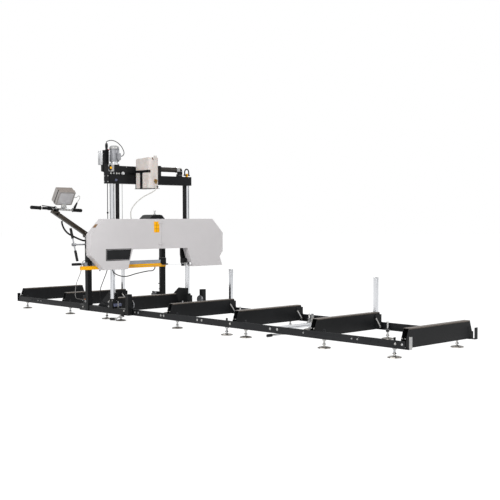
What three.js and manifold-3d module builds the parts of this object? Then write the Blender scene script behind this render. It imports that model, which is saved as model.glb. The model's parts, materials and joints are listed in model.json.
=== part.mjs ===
// Portable band sawmill: a log bed of two rails and seven bunks on levelling feet, a carriage that
// rolls along the rails, and a band saw head that climbs two chrome columns on the carriage.
// Millimetres. X runs along the rails, Y across the bed away from the operator, Z up from the ground.
import * as THREE from 'three';
import { mergeVertices } from 'three/addons/utils/BufferGeometryUtils.js';
import Module from 'manifold-3d';

const wasm = await Module();
wasm.setup();

// The bed.
const sectionLength = 1850;
const sectionCount = 3;
const bedLength = sectionLength * sectionCount;
const bedWidth = 880;
const railBottom = 75;
const railTop = 135;
const railWall = 5;
const railFlange = 50;
const bunkTop = 223;
const gap = 0.4;

// The carriage, where it stands in the photograph.
const sideX = [1371, 2238];
const sideY = [-60, -8];
const columnX = 1955;
const columnY = -42;
const columnRadius = 25;
const columnFoot = 205;
const beamBottom = 1378;
const beamTop = 1470;
const rearPostX = 1517;

// The saw head.
const wheelRadius = 226;
const wheelZ = 780;
const idlerY = -160;
const driveY = 1010;
const coverBack = 2057;
const coverFront = 2140;
const bandX = [2078, 2113];
const frameX = [2042, 2050];
const armX = [2014, 2050];

const black = new THREE.MeshStandardMaterial({ color: 0x1d1e20, roughness: 0.45, metalness: 0.3 });
const darkSteel = new THREE.MeshStandardMaterial({ color: 0x3a3633, roughness: 0.4, metalness: 0.6 });
const pale = new THREE.MeshStandardMaterial({ color: 0xcfcdcd, roughness: 0.5, metalness: 0.1 });
const chrome = new THREE.MeshStandardMaterial({ color: 0xe4e6ea, roughness: 0.12, metalness: 1 });
const zinc = new THREE.MeshStandardMaterial({ color: 0xb9bcc0, roughness: 0.35, metalness: 0.9 });
const cast = new THREE.MeshStandardMaterial({ color: 0x8e8f92, roughness: 0.5, metalness: 0.7 });
const tankWhite = new THREE.MeshStandardMaterial({ color: 0xe2dcd8, roughness: 0.45, metalness: 0 });
const yellow = new THREE.MeshStandardMaterial({ color: 0xf5b400, roughness: 0.4, metalness: 0.1 });
const rubber = new THREE.MeshStandardMaterial({ color: 0x141414, roughness: 0.8, metalness: 0 });
const greyPlastic = new THREE.MeshStandardMaterial({ color: 0x8a8a88, roughness: 0.5, metalness: 0.1 });
const clearHose = new THREE.MeshStandardMaterial({ color: 0xd2d0cc, roughness: 0.3, metalness: 0 });

const mill = new THREE.Group();

// A closed geometry as a solid that can be joined and cut.
function solid(geometry) {
  const bare = geometry.index ? geometry : geometry.clone();
  bare.deleteAttribute('normal');
  bare.deleteAttribute('uv');
  const merged = mergeVertices(bare, 1e-3);
  return new wasm.Manifold(new wasm.Mesh({
    numProp: 3,
    vertProperties: new Float32Array(merged.attributes.position.array),
    triVerts: new Uint32Array(merged.index.array),
  }));
}

function join(...pieces) {
  return pieces.reduce((whole, piece) => whole.add(piece));
}

function cut(whole, ...pieces) {
  return pieces.reduce((left, piece) => left.subtract(piece), whole);
}

function add(name, piece, material, cord = false) {
  const made = piece.getMesh();
  const geometry = new THREE.BufferGeometry();
  geometry.setAttribute('position', new THREE.BufferAttribute(new Float32Array(made.vertProperties), made.numProp));
  geometry.setIndex(new THREE.BufferAttribute(new Uint32Array(made.triVerts), 1));
  geometry.computeVertexNormals();
  const mesh = new THREE.Mesh(geometry, material);
  mesh.name = name;
  mesh.userData.cord = cord;
  mill.add(mesh);
  return mesh;
}

// A box between two values on each axis.
function box({ x, y, z }) {
  const sorted = [x, y, z].map((span) => [Math.min(...span), Math.max(...span)]);
  const size = sorted.map(([low, high]) => high - low);
  const middle = sorted.map(([low, high]) => (low + high) / 2);
  return solid(new THREE.BoxGeometry(...size).translate(...middle));
}

// A round bar from one point to another.
function bar(from, to, radius, sides = 16) {
  const start = new THREE.Vector3(...from);
  const end = new THREE.Vector3(...to);
  const along = end.clone().sub(start);
  const geometry = new THREE.CylinderGeometry(radius, radius, along.length(), sides);
  geometry.applyQuaternion(new THREE.Quaternion().setFromUnitVectors(new THREE.Vector3(0, 1, 0), along.clone().normalize()));
  const middle = start.add(end).multiplyScalar(1 / 2);
  return solid(geometry.translate(middle.x, middle.y, middle.z));
}

// A turned piece. The profile lists (radius, height) pairs and closes on itself or on the axis.
function turned(profile, axis, at, sides) {
  const geometry = new THREE.LatheGeometry(profile.map(([radius, height]) => new THREE.Vector2(radius, height)), sides);
  if (axis === 'z') geometry.rotateX(Math.PI / 2);
  if (axis === 'x') geometry.rotateZ(-Math.PI / 2);
  return solid(geometry.translate(...at));
}

function shapeOf(points) {
  return new THREE.Shape(points.map(([u, v]) => new THREE.Vector2(u, v)));
}

// An outline in Y and Z, given its thickness along X.
function plateX(points, [low, high]) {
  const geometry = new THREE.ExtrudeGeometry(shapeOf(points), { depth: high - low, bevelEnabled: false });
  geometry.applyMatrix4(new THREE.Matrix4().set(0, 0, 1, low, 1, 0, 0, 0, 0, 1, 0, 0, 0, 0, 0, 1));
  return solid(geometry);
}

// An outline in X and Z, given its thickness along Y.
function plateY(points, span) {
  const low = Math.min(...span);
  const high = Math.max(...span);
  const geometry = new THREE.ExtrudeGeometry(shapeOf(points), { depth: high - low, bevelEnabled: false });
  geometry.applyMatrix4(new THREE.Matrix4().set(1, 0, 0, 0, 0, 0, -1, high, 0, 1, 0, 0, 0, 0, 0, 1));
  return solid(geometry);
}

// A round tube along a smooth curve through the points.
function tube(points, radius, sides, steps) {
  const curve = new THREE.CatmullRomCurve3(points.map((point) => new THREE.Vector3(...point)), false, 'centripetal');
  const section = new THREE.Shape();
  for (let side = 0; side < sides; side += 1) {
    const angle = (side / sides) * Math.PI * 2;
    const corner = [Math.cos(angle) * radius, Math.sin(angle) * radius];
    if (side === 0) section.moveTo(...corner);
    else section.lineTo(...corner);
  }
  section.closePath();
  return solid(new THREE.ExtrudeGeometry(section, { steps, extrudePath: curve, bevelEnabled: false }));
}

// The outline of a loop drawn tight round two wheels, in Y and Z.
function loopOutline([firstY, firstZ], firstRadius, [lastY, lastZ], lastRadius, sides) {
  const lean = Math.atan2(lastZ - firstZ, lastY - firstY);
  const reach = Math.hypot(lastY - firstY, lastZ - firstZ);
  const open = Math.acos((firstRadius - lastRadius) / reach);
  const points = [];
  for (let step = 0; step <= sides; step += 1) {
    const angle = lean + open + ((Math.PI - open) * 2 * step) / sides;
    points.push([firstY + Math.cos(angle) * firstRadius, firstZ + Math.sin(angle) * firstRadius]);
  }
  for (let step = 0; step <= sides; step += 1) {
    const angle = lean - open + (open * 2 * step) / sides;
    points.push([lastY + Math.cos(angle) * lastRadius, lastZ + Math.sin(angle) * lastRadius]);
  }
  return points;
}

// The same outline drawn inwards by a wall's thickness. Points run anticlockwise.
function inset(points, wall) {
  return points.map((point, index) => {
    const before = points[(index + points.length - 1) % points.length];
    const after = points[(index + 1) % points.length];
    const inwards = [[before, point], [point, after]].map(([[u0, v0], [u1, v1]]) => {
      const length = Math.hypot(u1 - u0, v1 - v0);
      return [-(v1 - v0) / length, (u1 - u0) / length];
    });
    const [[au, av], [bu, bv]] = inwards;
    const spread = 1 + au * bu + av * bv;
    return [point[0] + ((au + bu) / spread) * wall, point[1] + ((av + bv) / spread) * wall];
  });
}

// Y on the near side of the bed, or the same place mirrored on the far side.
const sides = { near: (y) => y, far: (y) => bedWidth - y };

// Rails: an angle with its levelling feet, joint bolts and end stops.
const foot = {
  inset: 40, shares: [0.0664, 0.5579, 0.9336], plate: 55, rim: 50, rimTop: 8, crown: 16,
  rod: 9, nut: 16, nutLow: 61, nutHigh: 92, rodTop: 150, sides: 8,
};
const railBolt = { radius: 7, proud: 4, height: 109, sides: 6 };
const nearBoltShares = [0.052, 0.0635, 0.408, 0.418, 0.483, 0.491, 0.58, 0.591, 0.66, 0.75, 0.765, 0.841, 0.942, 0.955];
const farBoltShares = [0.052, 0.0635, 0.408, 0.418, 0.58, 0.591, 0.712, 0.722, 0.942, 0.955];
const endStop = { reach: 40, wall: 6, width: 38, high: 168, lap: 8 };

function rail(at, boltShares) {
  const pieces = [
    box({ x: [0, bedLength], y: [at(0), at(railWall)], z: [railBottom, railTop] }),
    box({ x: [0, bedLength], y: [at(0), at(railFlange)], z: [railBottom, railBottom + railWall] }),
  ];
  const profile = [
    [0, 0], [foot.plate, 0], [foot.rim, foot.rimTop], [foot.rod, foot.crown], [foot.rod, foot.nutLow],
    [foot.nut, foot.nutLow], [foot.nut, foot.nutHigh], [foot.rod, foot.nutHigh], [foot.rod, foot.rodTop], [0, foot.rodTop],
  ];
  for (let section = 0; section < sectionCount; section += 1) {
    for (const share of foot.shares) {
      pieces.push(turned(profile, 'z', [(section + share) * sectionLength, at(foot.inset), 0], foot.sides));
    }
  }
  for (const share of boltShares) {
    const x = share * bedLength;
    pieces.push(bar([x, at(railWall / 2), railBolt.height], [x, at(-railBolt.proud), railBolt.height], railBolt.radius, railBolt.sides));
  }
  for (const [end, way] of [[0, -1], [bedLength, 1]]) {
    const tip = end + way * endStop.reach;
    pieces.push(box({ x: [end - way * endStop.lap, tip], y: [at(0), at(endStop.lap)], z: [railBottom, railBottom + railWall] }));
    pieces.push(box({ x: [end, tip], y: [at(0), at(endStop.width)], z: [railBottom, railBottom + railWall] }));
    pieces.push(box({ x: [tip - way * endStop.wall, tip], y: [at(0), at(endStop.width)], z: [railBottom, endStop.high] }));
  }
  return join(...pieces);
}

add('rail_near', rail(sides.near, nearBoltShares), black);
add('rail_far', rail(sides.far, farBoltShares), black);

// Bunks: folded sheet, open below and at both sloping ends. Three of them hold a log post.
const bunk = { width: 50, wall: 4, foot: 80.4, low: 120, ends: 12, shoulder: 48, places: [0, 0.5, 1, 1.5, 2, 2.5, 3] };
const post = { side: 32, wall: 3, inset: 67, low: 172, high: 520, slot: 32.8 };
const socket = { insets: [28, 110], z: [88, 205], thick: 6 };
const lever = { tailInset: 112, tailZ: 178, pivotInset: 50, pivotZ: 100, radius: 6, boss: 10, thick: 12, clear: 0.6 };
const postY = sides.far(post.inset);
const socketY = socket.insets.map(sides.far);
const leverTail = [sides.far(lever.tailInset), lever.tailZ];
const leverPivot = [sides.far(lever.pivotInset), lever.pivotZ];
const postBunks = [1, 3, 5];
const clampBunk = 4;

const bunkOutline = [
  [bunk.ends, bunk.foot], [bedWidth - bunk.ends, bunk.foot], [bedWidth - bunk.ends, bunk.low],
  [bedWidth - bunk.shoulder, bunkTop], [bunk.shoulder, bunkTop], [bunk.ends, bunk.low],
];

bunk.places.forEach((place, index) => {
  const last = bunk.places.length - 1;
  const middle = place * sectionLength + (index === 0 ? bunk.width / 2 : 0) - (index === last ? bunk.width / 2 : 0);
  const span = [middle - bunk.width / 2, middle + bunk.width / 2];
  const inner = { x: [span[0] + bunk.wall, span[1] - bunk.wall], y: [-gap, bedWidth + gap], z: [0, bunkTop - bunk.wall] };
  let piece = cut(plateX(bunkOutline, span), box(inner));
  const half = post.slot / 2;
  const levered = postBunks.includes(index) || index === clampBunk;
  if (levered) piece = join(piece, box({ x: [span[1] - bunk.wall, span[1] + socket.thick], y: socketY, z: socket.z }));
  if (postBunks.includes(index)) {
    piece = cut(piece, box({ x: [middle - half, middle + half], y: [postY - half, postY + half], z: [bunkTop - bunk.wall - gap, bunkTop + gap] }));
  }
  add(`bunk_${index + 1}`, piece, black);
  if (postBunks.includes(index)) {
    const order = postBunks.indexOf(index) + 1;
    const outer = post.side / 2;
    const bore = outer - post.wall;
    add(`log_post_${order}`, cut(
      box({ x: [middle - outer, middle + outer], y: [postY - outer, postY + outer], z: [post.low, post.high] }),
      box({ x: [middle - bore, middle + bore], y: [postY - bore, postY + bore], z: [post.low - gap, post.high + gap] }),
    ), chrome);
  }
  if (levered) {
    const order = postBunks.indexOf(index) + 1;
    const face = span[1] + socket.thick + lever.clear;
    const x = face + lever.thick / 2;
    add(order > 0 ? `post_lever_${order}` : 'clamp_lever', join(
      bar([face, ...leverPivot], [face + lever.thick, ...leverPivot], lever.boss, 12),
      bar([x, ...leverPivot], [x, ...leverTail], lever.radius, 8),
    ), zinc);
  }
});

// Log clamp: two tubes across the bed, and a jaw with its pull rod that slides on them.
const clamp = {
  x: 4182, half: 28, radius: 14, z: 108, end: 5.6, tubeEnd: 12, plate: 8,
  bracketX: 60, bracketZ: [82, 130],
};
const jaw = {
  y: [478, 512], x: 52, z: [86, 132], bore: 14.6, post: 12, postTop: 200, postY: 495,
  rod: 9, rodZ: 56, rodFrom: -10, grip: 13, gripFrom: -52, web: [48, 92], webX: 12,
};
const tee = { off: 38, stem: 6, z: [132.4, 158], cross: 22, crossZ: 152, boss: 11, bossTop: 140 };

const clampTubes = [-clamp.half, clamp.half].map((off) => bar([clamp.x + off, clamp.tubeEnd, clamp.z], [clamp.x + off, sides.far(clamp.tubeEnd), clamp.z], clamp.radius, 14));
const clampPlates = [sides.near, sides.far].map((at) => box({
  x: [clamp.x - clamp.bracketX, clamp.x + clamp.bracketX], y: [at(clamp.end), at(clamp.end + clamp.plate)], z: clamp.bracketZ,
}));
add('clamp_tubes', join(...clampTubes, ...clampPlates), chrome);
add('clamp_jaw', join(
  cut(
    box({ x: [clamp.x - jaw.x, clamp.x + jaw.x], y: jaw.y, z: jaw.z }),
    ...[-clamp.half, clamp.half].map((off) => bar([clamp.x + off, jaw.y[0] - gap, clamp.z], [clamp.x + off, jaw.y[1] + gap, clamp.z], jaw.bore, 14)),
  ),
  bar([clamp.x, jaw.postY, clamp.z], [clamp.x, jaw.postY, jaw.postTop], jaw.post, 12),
  box({ x: [clamp.x - jaw.webX, clamp.x + jaw.webX], y: jaw.y, z: jaw.web }),
  bar([clamp.x, jaw.rodFrom, jaw.rodZ], [clamp.x, jaw.postY, jaw.rodZ], jaw.rod, 10),
  bar([clamp.x, jaw.gripFrom, jaw.rodZ], [clamp.x, jaw.rodFrom + jaw.rod, jaw.rodZ], jaw.grip, 12),
), zinc);
const teeX = clamp.x - tee.off;
add('clamp_tee', join(
  bar([teeX, jaw.postY, tee.z[0]], [teeX, jaw.postY, tee.z[1]], tee.stem, 8),
  bar([teeX, jaw.postY, tee.z[0]], [teeX, jaw.postY, tee.bossTop], tee.boss, 10),
  bar([teeX - tee.cross, jaw.postY, tee.crossZ], [teeX + tee.cross, jaw.postY, tee.crossZ], tee.stem, 8),
), zinc);

// Carriage sides: a beam outside each rail, with the rear post, column foot and front stub.
const sideZ = [76, 136];
const rearPost = { half: 25, y: [-67, -17], z: [76, 880] };
const latch = { y: -25, radius: 5, places: [[310, 28], [248, 18]] };
const rearPlate = { x: [1371, 1542], y: [-17, -9], z: [136, 222] };
const gusset = { outline: [[1640, 130], [1842, 285], [1995, 285], [1995, 130]], y: [-16, -8] };
const columnSocket = { x: [1915, 1995], y: [-76, -8], z: [130, 205] };
const stub = { x: [2190, 2238], y: [-60, -12], z: [130, 285] };
const railWheel = { tread: 42, flange: 46.5, lip: 36, y: [-6, -1, 8], hub: 18, axle: 10, axleEnd: -26, bore: 10.4, x: [1430, 2210], sides: 24 };
const railWheelZ = railTop + gap + railWheel.tread;
const lockHinge = { x: 2150, y: [-66, -60], z: [60, 96], half: 22 };

function carriageSide(at) {
  const spanY = (span) => [at(span[0]), at(span[1])];
  const whole = join(
    box({ x: sideX, y: spanY(sideY), z: sideZ }),
    box({ x: [rearPostX - rearPost.half, rearPostX + rearPost.half], y: spanY(rearPost.y), z: rearPost.z }),
    box({ x: rearPlate.x, y: spanY(rearPlate.y), z: [sideZ[1] - railWall, rearPlate.z[1]] }),
    plateY(gusset.outline, spanY(gusset.y)),
    box({ x: columnSocket.x, y: spanY(columnSocket.y), z: columnSocket.z }),
    box({ x: stub.x, y: spanY(stub.y), z: stub.z }),
    box({ x: [lockHinge.x - lockHinge.half, lockHinge.x + lockHinge.half], y: spanY(lockHinge.y), z: lockHinge.z }),
  );
  const bores = railWheel.x.map((x) => bar(
    [x, at(railWheel.axleEnd - gap), railWheelZ], [x, at(0), railWheelZ], railWheel.bore, railWheel.sides,
  ));
  return cut(whole, ...bores);
}

add('carriage_near', carriageSide(sides.near), black);
const rearFace = rearPostX - rearPost.half;
const latches = latch.places.map(([z, reach]) => bar(
  [rearFace + latch.radius, sides.far(latch.y), z], [rearFace - reach, sides.far(latch.y), z], latch.radius, 10,
));
add('carriage_far', join(carriageSide(sides.far), ...latches), black);

// Rail wheels: a steel tread on the rail's edge and one flange outside it.
for (const [side, at] of Object.entries(sides)) {
  railWheel.x.forEach((x, index) => {
    const [outer, inner, tread] = railWheel.y.map(at);
    add(`wheel_${side}_${index + 1}`, join(
      bar([x, outer, railWheelZ], [x, inner, railWheelZ], railWheel.flange, railWheel.sides),
      bar([x, inner, railWheelZ], [x, tread, railWheelZ], railWheel.tread, railWheel.sides),
      bar([x, at(railWheel.axleEnd), railWheelZ], [x, outer, railWheelZ], railWheel.axle, railWheel.sides),
    ), cast);
  });
}

// Columns: chrome bars that the head slides on.
for (const [side, at] of Object.entries(sides)) {
  add(`column_${side}`, bar([columnX, at(columnY), columnFoot + gap], [columnX, at(columnY), beamBottom - gap], columnRadius, 24), chrome);
}

// Top beam with the lift gear block, the shaft housing, the switch plate and the tank's holder.
const beam = { x: [1910, 2000], y: [-105, 947], z: [beamBottom, beamTop] };
const gearBlock = { x: [1906, 2005], y: [-105, 15], z: [1378, 1565] };
const housing = { x: [1920, 1990], y: [10, 510], z: [1465, 1556] };
const housingEnd = { x: [1915, 1995], y: [505, 546], z: [1465, 1570] };
const shaft = { radius: 22.5, z: 1541, y: [546.5, 768], joint: 25, jointEnd: 806, stub: 12, stubEnd: 826, bore: 12.6 };
const shaftBearing = {
  outline: [[790, 1465], [842, 1465], [846, 1510], [842, 1545], [828, 1562], [811, 1562], [811, 1520], [790, 1488]], x: [1936, 1974],
};
const lug = { x: [1940, 1970], y: [914, 924], z: [1465, 1506], pinZ: 1490, bore: 6.6 };
const switchPlate = { x: [2004, 2012], y: [-117, -55], z: [1496, 1564] };
const switchKnob = { y: -106, z: 1530, radius: 17, proud: 18 };
const scaleRod = { y: 80, low: 1025, radius: 3 };
const shelf = { x: [1996, 2246], y: [203, 330], z: [1326, 1330] };
const shelfBack = { x: [1996, 2003], y: [215, 318], z: [1326, 1400] };
const strapWall = 4;
const tankX = [2005, 2243];
const tankY = [208, 322];
const tankZ = [1331, 1639];
const strapLeft = tankY[0] - 1;
const beltStrap = { z: [1488, 1512], uprightX: [2090, 2127] };

const beamShape = join(
  box(beam),
  box(gearBlock),
  box(housing),
  box(housingEnd),
  plateX(shaftBearing.outline, shaftBearing.x),
  box(lug),
  box(switchPlate),
  bar([switchPlate.x[0], switchKnob.y, switchKnob.z], [switchPlate.x[1] + switchKnob.proud, switchKnob.y, switchKnob.z], switchKnob.radius, 12),
  bar([columnX, scaleRod.y, scaleRod.low], [columnX, scaleRod.y, beamBottom + railWall], scaleRod.radius, 8),
  box(shelf),
  box(shelfBack),
  box({ x: [beam.x[1] - strapWall, tankX[1]], y: [strapLeft - strapWall, strapLeft], z: beltStrap.z }),
  box({ x: beltStrap.uprightX, y: [strapLeft - strapWall, strapLeft], z: [shelf.z[0], beltStrap.z[1]] }),
  box({ x: [beam.x[1] - strapWall, beam.x[1]], y: [strapLeft - strapWall, strapLeft], z: [beamTop - railWall, beltStrap.z[1]] }),
);
add('top_beam', cut(
  beamShape,
  bar([columnX, shaft.jointEnd, shaft.z], [columnX, shaft.stubEnd + gap, shaft.z], shaft.bore, 16),
  bar([columnX, lug.y[0] - gap, lug.pinZ], [columnX, lug.y[1] + gap, lug.pinZ], lug.bore, 12),
), black);
add('cross_shaft', join(
  bar([columnX, shaft.y[0], shaft.z], [columnX, shaft.y[1], shaft.z], shaft.radius, 16),
  bar([columnX, shaft.y[1], shaft.z], [columnX, shaft.jointEnd, shaft.z], shaft.joint, 16),
  bar([columnX, shaft.jointEnd, shaft.z], [columnX, shaft.stubEnd, shaft.z], shaft.stub, 16),
), darkSteel);

// Lifting shackle: a bow on a pin through the lug.
const shackle = { half: 26, bend: 22, rod: 6, pinZ: lug.pinZ, straight: 24, pinRadius: 6, pinOver: 10, y: 919 };
const bowPoints = [];
for (let step = 0; step <= 12; step += 1) {
  const angle = Math.PI * (step / 12);
  bowPoints.push([columnX, shackle.y - Math.cos(angle) * shackle.bend, shackle.pinZ + shackle.straight + Math.sin(angle) * shackle.half]);
}
bowPoints.unshift([columnX, shackle.y - shackle.bend, shackle.pinZ]);
bowPoints.push([columnX, shackle.y + shackle.bend, shackle.pinZ]);
add('lifting_shackle', join(
  tube(bowPoints, shackle.rod, 8, 24),
  bar([columnX, shackle.y - shackle.bend - shackle.pinOver, shackle.pinZ], [columnX, shackle.y + shackle.bend + shackle.pinOver, shackle.pinZ], shackle.pinRadius, 12),
), zinc);

// Lift motor: a finned body on a flange, with its terminal box.
const liftMotor = {
  y: -11, profile: [[0, 1565.5], [50, 1565.5], [50, 1578], [36, 1584], [36, 1592], [45, 1598], [45, 1716], [49, 1720], [49, 1738], [40, 1752], [0, 1752]],
  fin: 3, finOut: 50, finZ: [1600, 1714], fins: 16, terminal: { x: [1985, 2012], y: [-22, 28], z: [1612, 1680] },
};
const motorPieces = [turned(liftMotor.profile, 'z', [columnX, liftMotor.y, 0], 24)];
for (let fin = 0; fin < liftMotor.fins; fin += 1) {
  const angle = ((fin + 1 / 2) / liftMotor.fins) * Math.PI * 2;
  const height = liftMotor.finZ[1] - liftMotor.finZ[0];
  const geometry = new THREE.BoxGeometry(liftMotor.finOut, liftMotor.fin, height);
  geometry.translate(liftMotor.finOut / 2, 0, 0).rotateZ(angle);
  motorPieces.push(solid(geometry.translate(columnX, liftMotor.y, (liftMotor.finZ[0] + liftMotor.finZ[1]) / 2)));
}
motorPieces.push(box(liftMotor.terminal));
add('lift_motor', join(...motorPieces), cast);

// Control cabinet behind the gear block, with its ribbed cooler and cable plug.
const cabinet = { x: [1856, 1896], y: [-88, -35], z: [1495, 1711] };
const cooler = { x: [1858, 1894], y: [-112, -84], z: [1563, 1703], rib: 3, ribOut: -141, ribs: 7 };
const cabinetFoot = { x: [cabinet.x[1] - gap, gearBlock.x[0] - gap], y: [-80, -40], z: [1505, 1550] };
const plug = { x: 1882, y: -54, radius: 12, top: 1782, low: 1700 };
const cabinetPieces = [box(cabinet), box(cooler), box(cabinetFoot), bar([plug.x, plug.y, plug.low], [plug.x, plug.y, plug.top], plug.radius, 12)];
for (let rib = 0; rib < cooler.ribs; rib += 1) {
  const x = cooler.x[0] + ((cooler.x[1] - cooler.x[0] - cooler.rib) * rib) / (cooler.ribs - 1);
  cabinetPieces.push(box({ x: [x, x + cooler.rib], y: [cooler.ribOut, cooler.y[1]], z: cooler.z }));
}
add('control_cabinet', join(...cabinetPieces), black);

// Water tank, its cap and its tap.
const tank = {
  corner: 18, side: [[2005, 1352], [2026, 1331], [2243, 1331], [2243, 1636], [2236, 1639], [2040, 1630], [2012, 1620], [2005, 1608]],
  handle: { outline: [[231, 1646], [243, 1646], [262, 1612], [250, 1612]], x: [2205, 2244] }, cap: { y: 293, x: 2224, radius: 13, top: 1657 },
  tap: { y: 278, z: 1406, radius: 15, proud: 19 }, outlet: { proud: 11, radius: 7, low: 1376 }, drain: { y: 306, z: 1346, radius: 8, proud: 6 },
};
const outletX = tankX[1] + tank.outlet.proud;
const tankOutline = [];
[[1, 1], [-1, 1], [-1, -1], [1, -1]].forEach(([outY, outX], corner) => {
  for (let step = 0; step <= 3; step += 1) {
    const angle = (corner * Math.PI) / 2 + (step * Math.PI) / 6;
    const middleY = (outY > 0 ? tankY[1] : tankY[0]) - outY * tank.corner;
    const middleX = (outX > 0 ? tankX[1] : tankX[0]) - outX * tank.corner;
    tankOutline.push([middleY + Math.cos(angle) * tank.corner, middleX + Math.sin(angle) * tank.corner]);
  }
});
const tankBody = new THREE.ExtrudeGeometry(shapeOf(tankOutline), { depth: tankZ[1] - tankZ[0], bevelEnabled: false });
tankBody.applyMatrix4(new THREE.Matrix4().set(0, 1, 0, 0, 1, 0, 0, 0, 0, 0, -1, tankZ[1], 0, 0, 0, 1));
add('water_tank', join(
  cut(solid(tankBody).intersect(plateY(tank.side, tankY)), plateX(tank.handle.outline, tank.handle.x)),
  bar([tank.cap.x, tank.cap.y, tankZ[1] - tank.corner], [tank.cap.x, tank.cap.y, tank.cap.top], tank.cap.radius, 16),
  bar([tankX[1] - tank.corner, tank.tap.y, tank.tap.z], [tankX[1] + tank.tap.proud, tank.tap.y, tank.tap.z], tank.tap.radius, 12),
  bar([outletX, tank.tap.y, tank.outlet.low], [outletX, tank.tap.y, tank.tap.z], tank.outlet.radius, 10),
  bar([tankX[1] - tank.corner, tank.drain.y, tank.drain.z], [tankX[1] + tank.drain.proud, tank.drain.y, tank.drain.z], tank.drain.radius, 12),
), tankWhite);

// Push arm, handlebar, control box and safety lever, on the near rear post.
const pushArm = { from: [-78, 877], to: [-418, 1083], half: 20, plateX: 32, plateY: [-86, -67.4], plateZ: [836, 892], cap: { y: [-462, -392], z: [1088, 1100] } };
const armRun = [pushArm.to[0] - pushArm.from[0], pushArm.to[1] - pushArm.from[1]];
const armLength = Math.hypot(...armRun);
const armNormal = [(-armRun[1] / armLength) * pushArm.half, (armRun[0] / armLength) * pushArm.half];
const armOutline = [
  [pushArm.from[0] + armNormal[0], pushArm.from[1] + armNormal[1]], [pushArm.to[0] + armNormal[0], pushArm.to[1] + armNormal[1]],
  [pushArm.to[0] - armNormal[0], pushArm.to[1] - armNormal[1]], [pushArm.from[0] - armNormal[0], pushArm.from[1] - armNormal[1]],
];
add('push_arm', join(
  plateX(armOutline, [rearPostX - pushArm.half, rearPostX + pushArm.half]),
  box({ x: [rearPostX - pushArm.plateX, rearPostX + pushArm.plateX], y: pushArm.plateY, z: pushArm.plateZ }),
  box({ x: [rearPostX - pushArm.plateX, rearPostX + pushArm.plateX], y: [pushArm.cap.y[0], pushArm.cap.y[1]], z: pushArm.cap.z }),
), darkSteel);
const handle = { ends: [[-702, 1142], [-120, 1112]], radius: 12.5, grip: 16, gripShare: 0.182, block: { y: [-456, -398], x: 20, z: [1100.5, 1128] } };
const handlePoint = (share) => [
  rearPostX,
  handle.ends[0][0] + (handle.ends[1][0] - handle.ends[0][0]) * share,
  handle.ends[0][1] + (handle.ends[1][1] - handle.ends[0][1]) * share,
];
add('handlebar', join(
  bar(handlePoint(0), handlePoint(1), handle.radius, 14),
  bar(handlePoint(0), handlePoint(handle.gripShare), handle.grip, 14),
  bar(handlePoint(1 - handle.gripShare), handlePoint(1), handle.grip, 14),
  box({ x: [rearPostX - handle.block.x, rearPostX + handle.block.x], y: handle.block.y, z: handle.block.z }),
), darkSteel);
const controlBox = { at: [rearPostX, -328, 1256], size: [92, 186, 155], lean: 0.594, stem: { x: 12, y: [-352, -304], z: [1146, 1200] }, saddle: { x: 19, z: [1136.9, 1150] } };
const boxGeometry = new THREE.BoxGeometry(...controlBox.size);
boxGeometry.rotateY(controlBox.lean).translate(...controlBox.at);
add('control_box', join(
  solid(boxGeometry),
  box({ x: [rearPostX - controlBox.stem.x, rearPostX + controlBox.stem.x], y: controlBox.stem.y, z: controlBox.stem.z }),
  box({ x: [rearPostX - controlBox.saddle.x, rearPostX + controlBox.saddle.x], y: controlBox.stem.y, z: controlBox.saddle.z }),
), greyPlastic);
const safety = { pivot: [1545, -446, 1142], tip: [1549, -596, 1160], radius: 5, boss: 11, bossX: [1529.7, 1556] };
add('safety_lever', join(
  bar([safety.bossX[0], safety.pivot[1], safety.pivot[2]], [safety.bossX[1], safety.pivot[1], safety.pivot[2]], safety.boss, 12),
  bar(safety.pivot, safety.tip, safety.radius, 8),
), darkSteel);

// Carriage lock under the near side.
const lock = { pivotZ: 66, y: [-102, -66.4], radius: 10, arm: 6, armY: -94, tipX: 2070, tipZ: 34, gripEnd: 1986, grip: 14 };
add('carriage_lock', join(
  bar([lockHinge.x, lock.y[0], lock.pivotZ], [lockHinge.x, lock.y[1], lock.pivotZ], lock.radius, 12),
  bar([lockHinge.x, lock.armY, lock.pivotZ], [lock.tipX, lock.armY, lock.tipZ], lock.arm, 8),
  bar([lock.tipX + lock.arm, lock.armY, lock.tipZ], [lock.gripEnd, lock.armY, lock.tipZ - lock.arm], lock.grip, 10),
), zinc);

// Head frame: a plate behind the wheels, a stiff top bar, and a sleeve round each column.
const framePlate = [
  [-330, 640], [-14, 640], [-14, 735], [880, 735], [880, 690], [1185, 690], [1225, 722], [1225, 930], [1160, 1000],
  [-262, 1000], [-400, 854], [-400, 700],
];
const topBar = { x: [2000, 2044], y: [-150, 1010], z: [920, 1000] };
const sleeve = { x: [1914, 1990], y: [-92, 40], z: [850, 1000], bore: 25.5, pocket: 28, bush: 24 };
const sleeveBridge = { x: [1986, 2004], z: [922, 998] };
const slot = { y: [-206, -96], z: [741, 819], window: [761, 799] };
const slideRails = { x: [2016, 2044], y: [-236, -66], thick: 16, clear: 0.6 };
const screwBracket = { x: [2012, 2044], y: [-384, -362], z: [758, 802], bore: 9.2 };
const hubHousing = { x: [2020, 2044], radius: 38, bore: 15.5 };
const armSleeves = [[-400, -352], [-62, -20]];
const armSleeve = { x: [2005, 2056.6], cheek: [2013.4, 2050.6], z: [572, 636], roof: 604.6, web: [600, 660] };
const armSize = 36;
const screwX = 2030;

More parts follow.
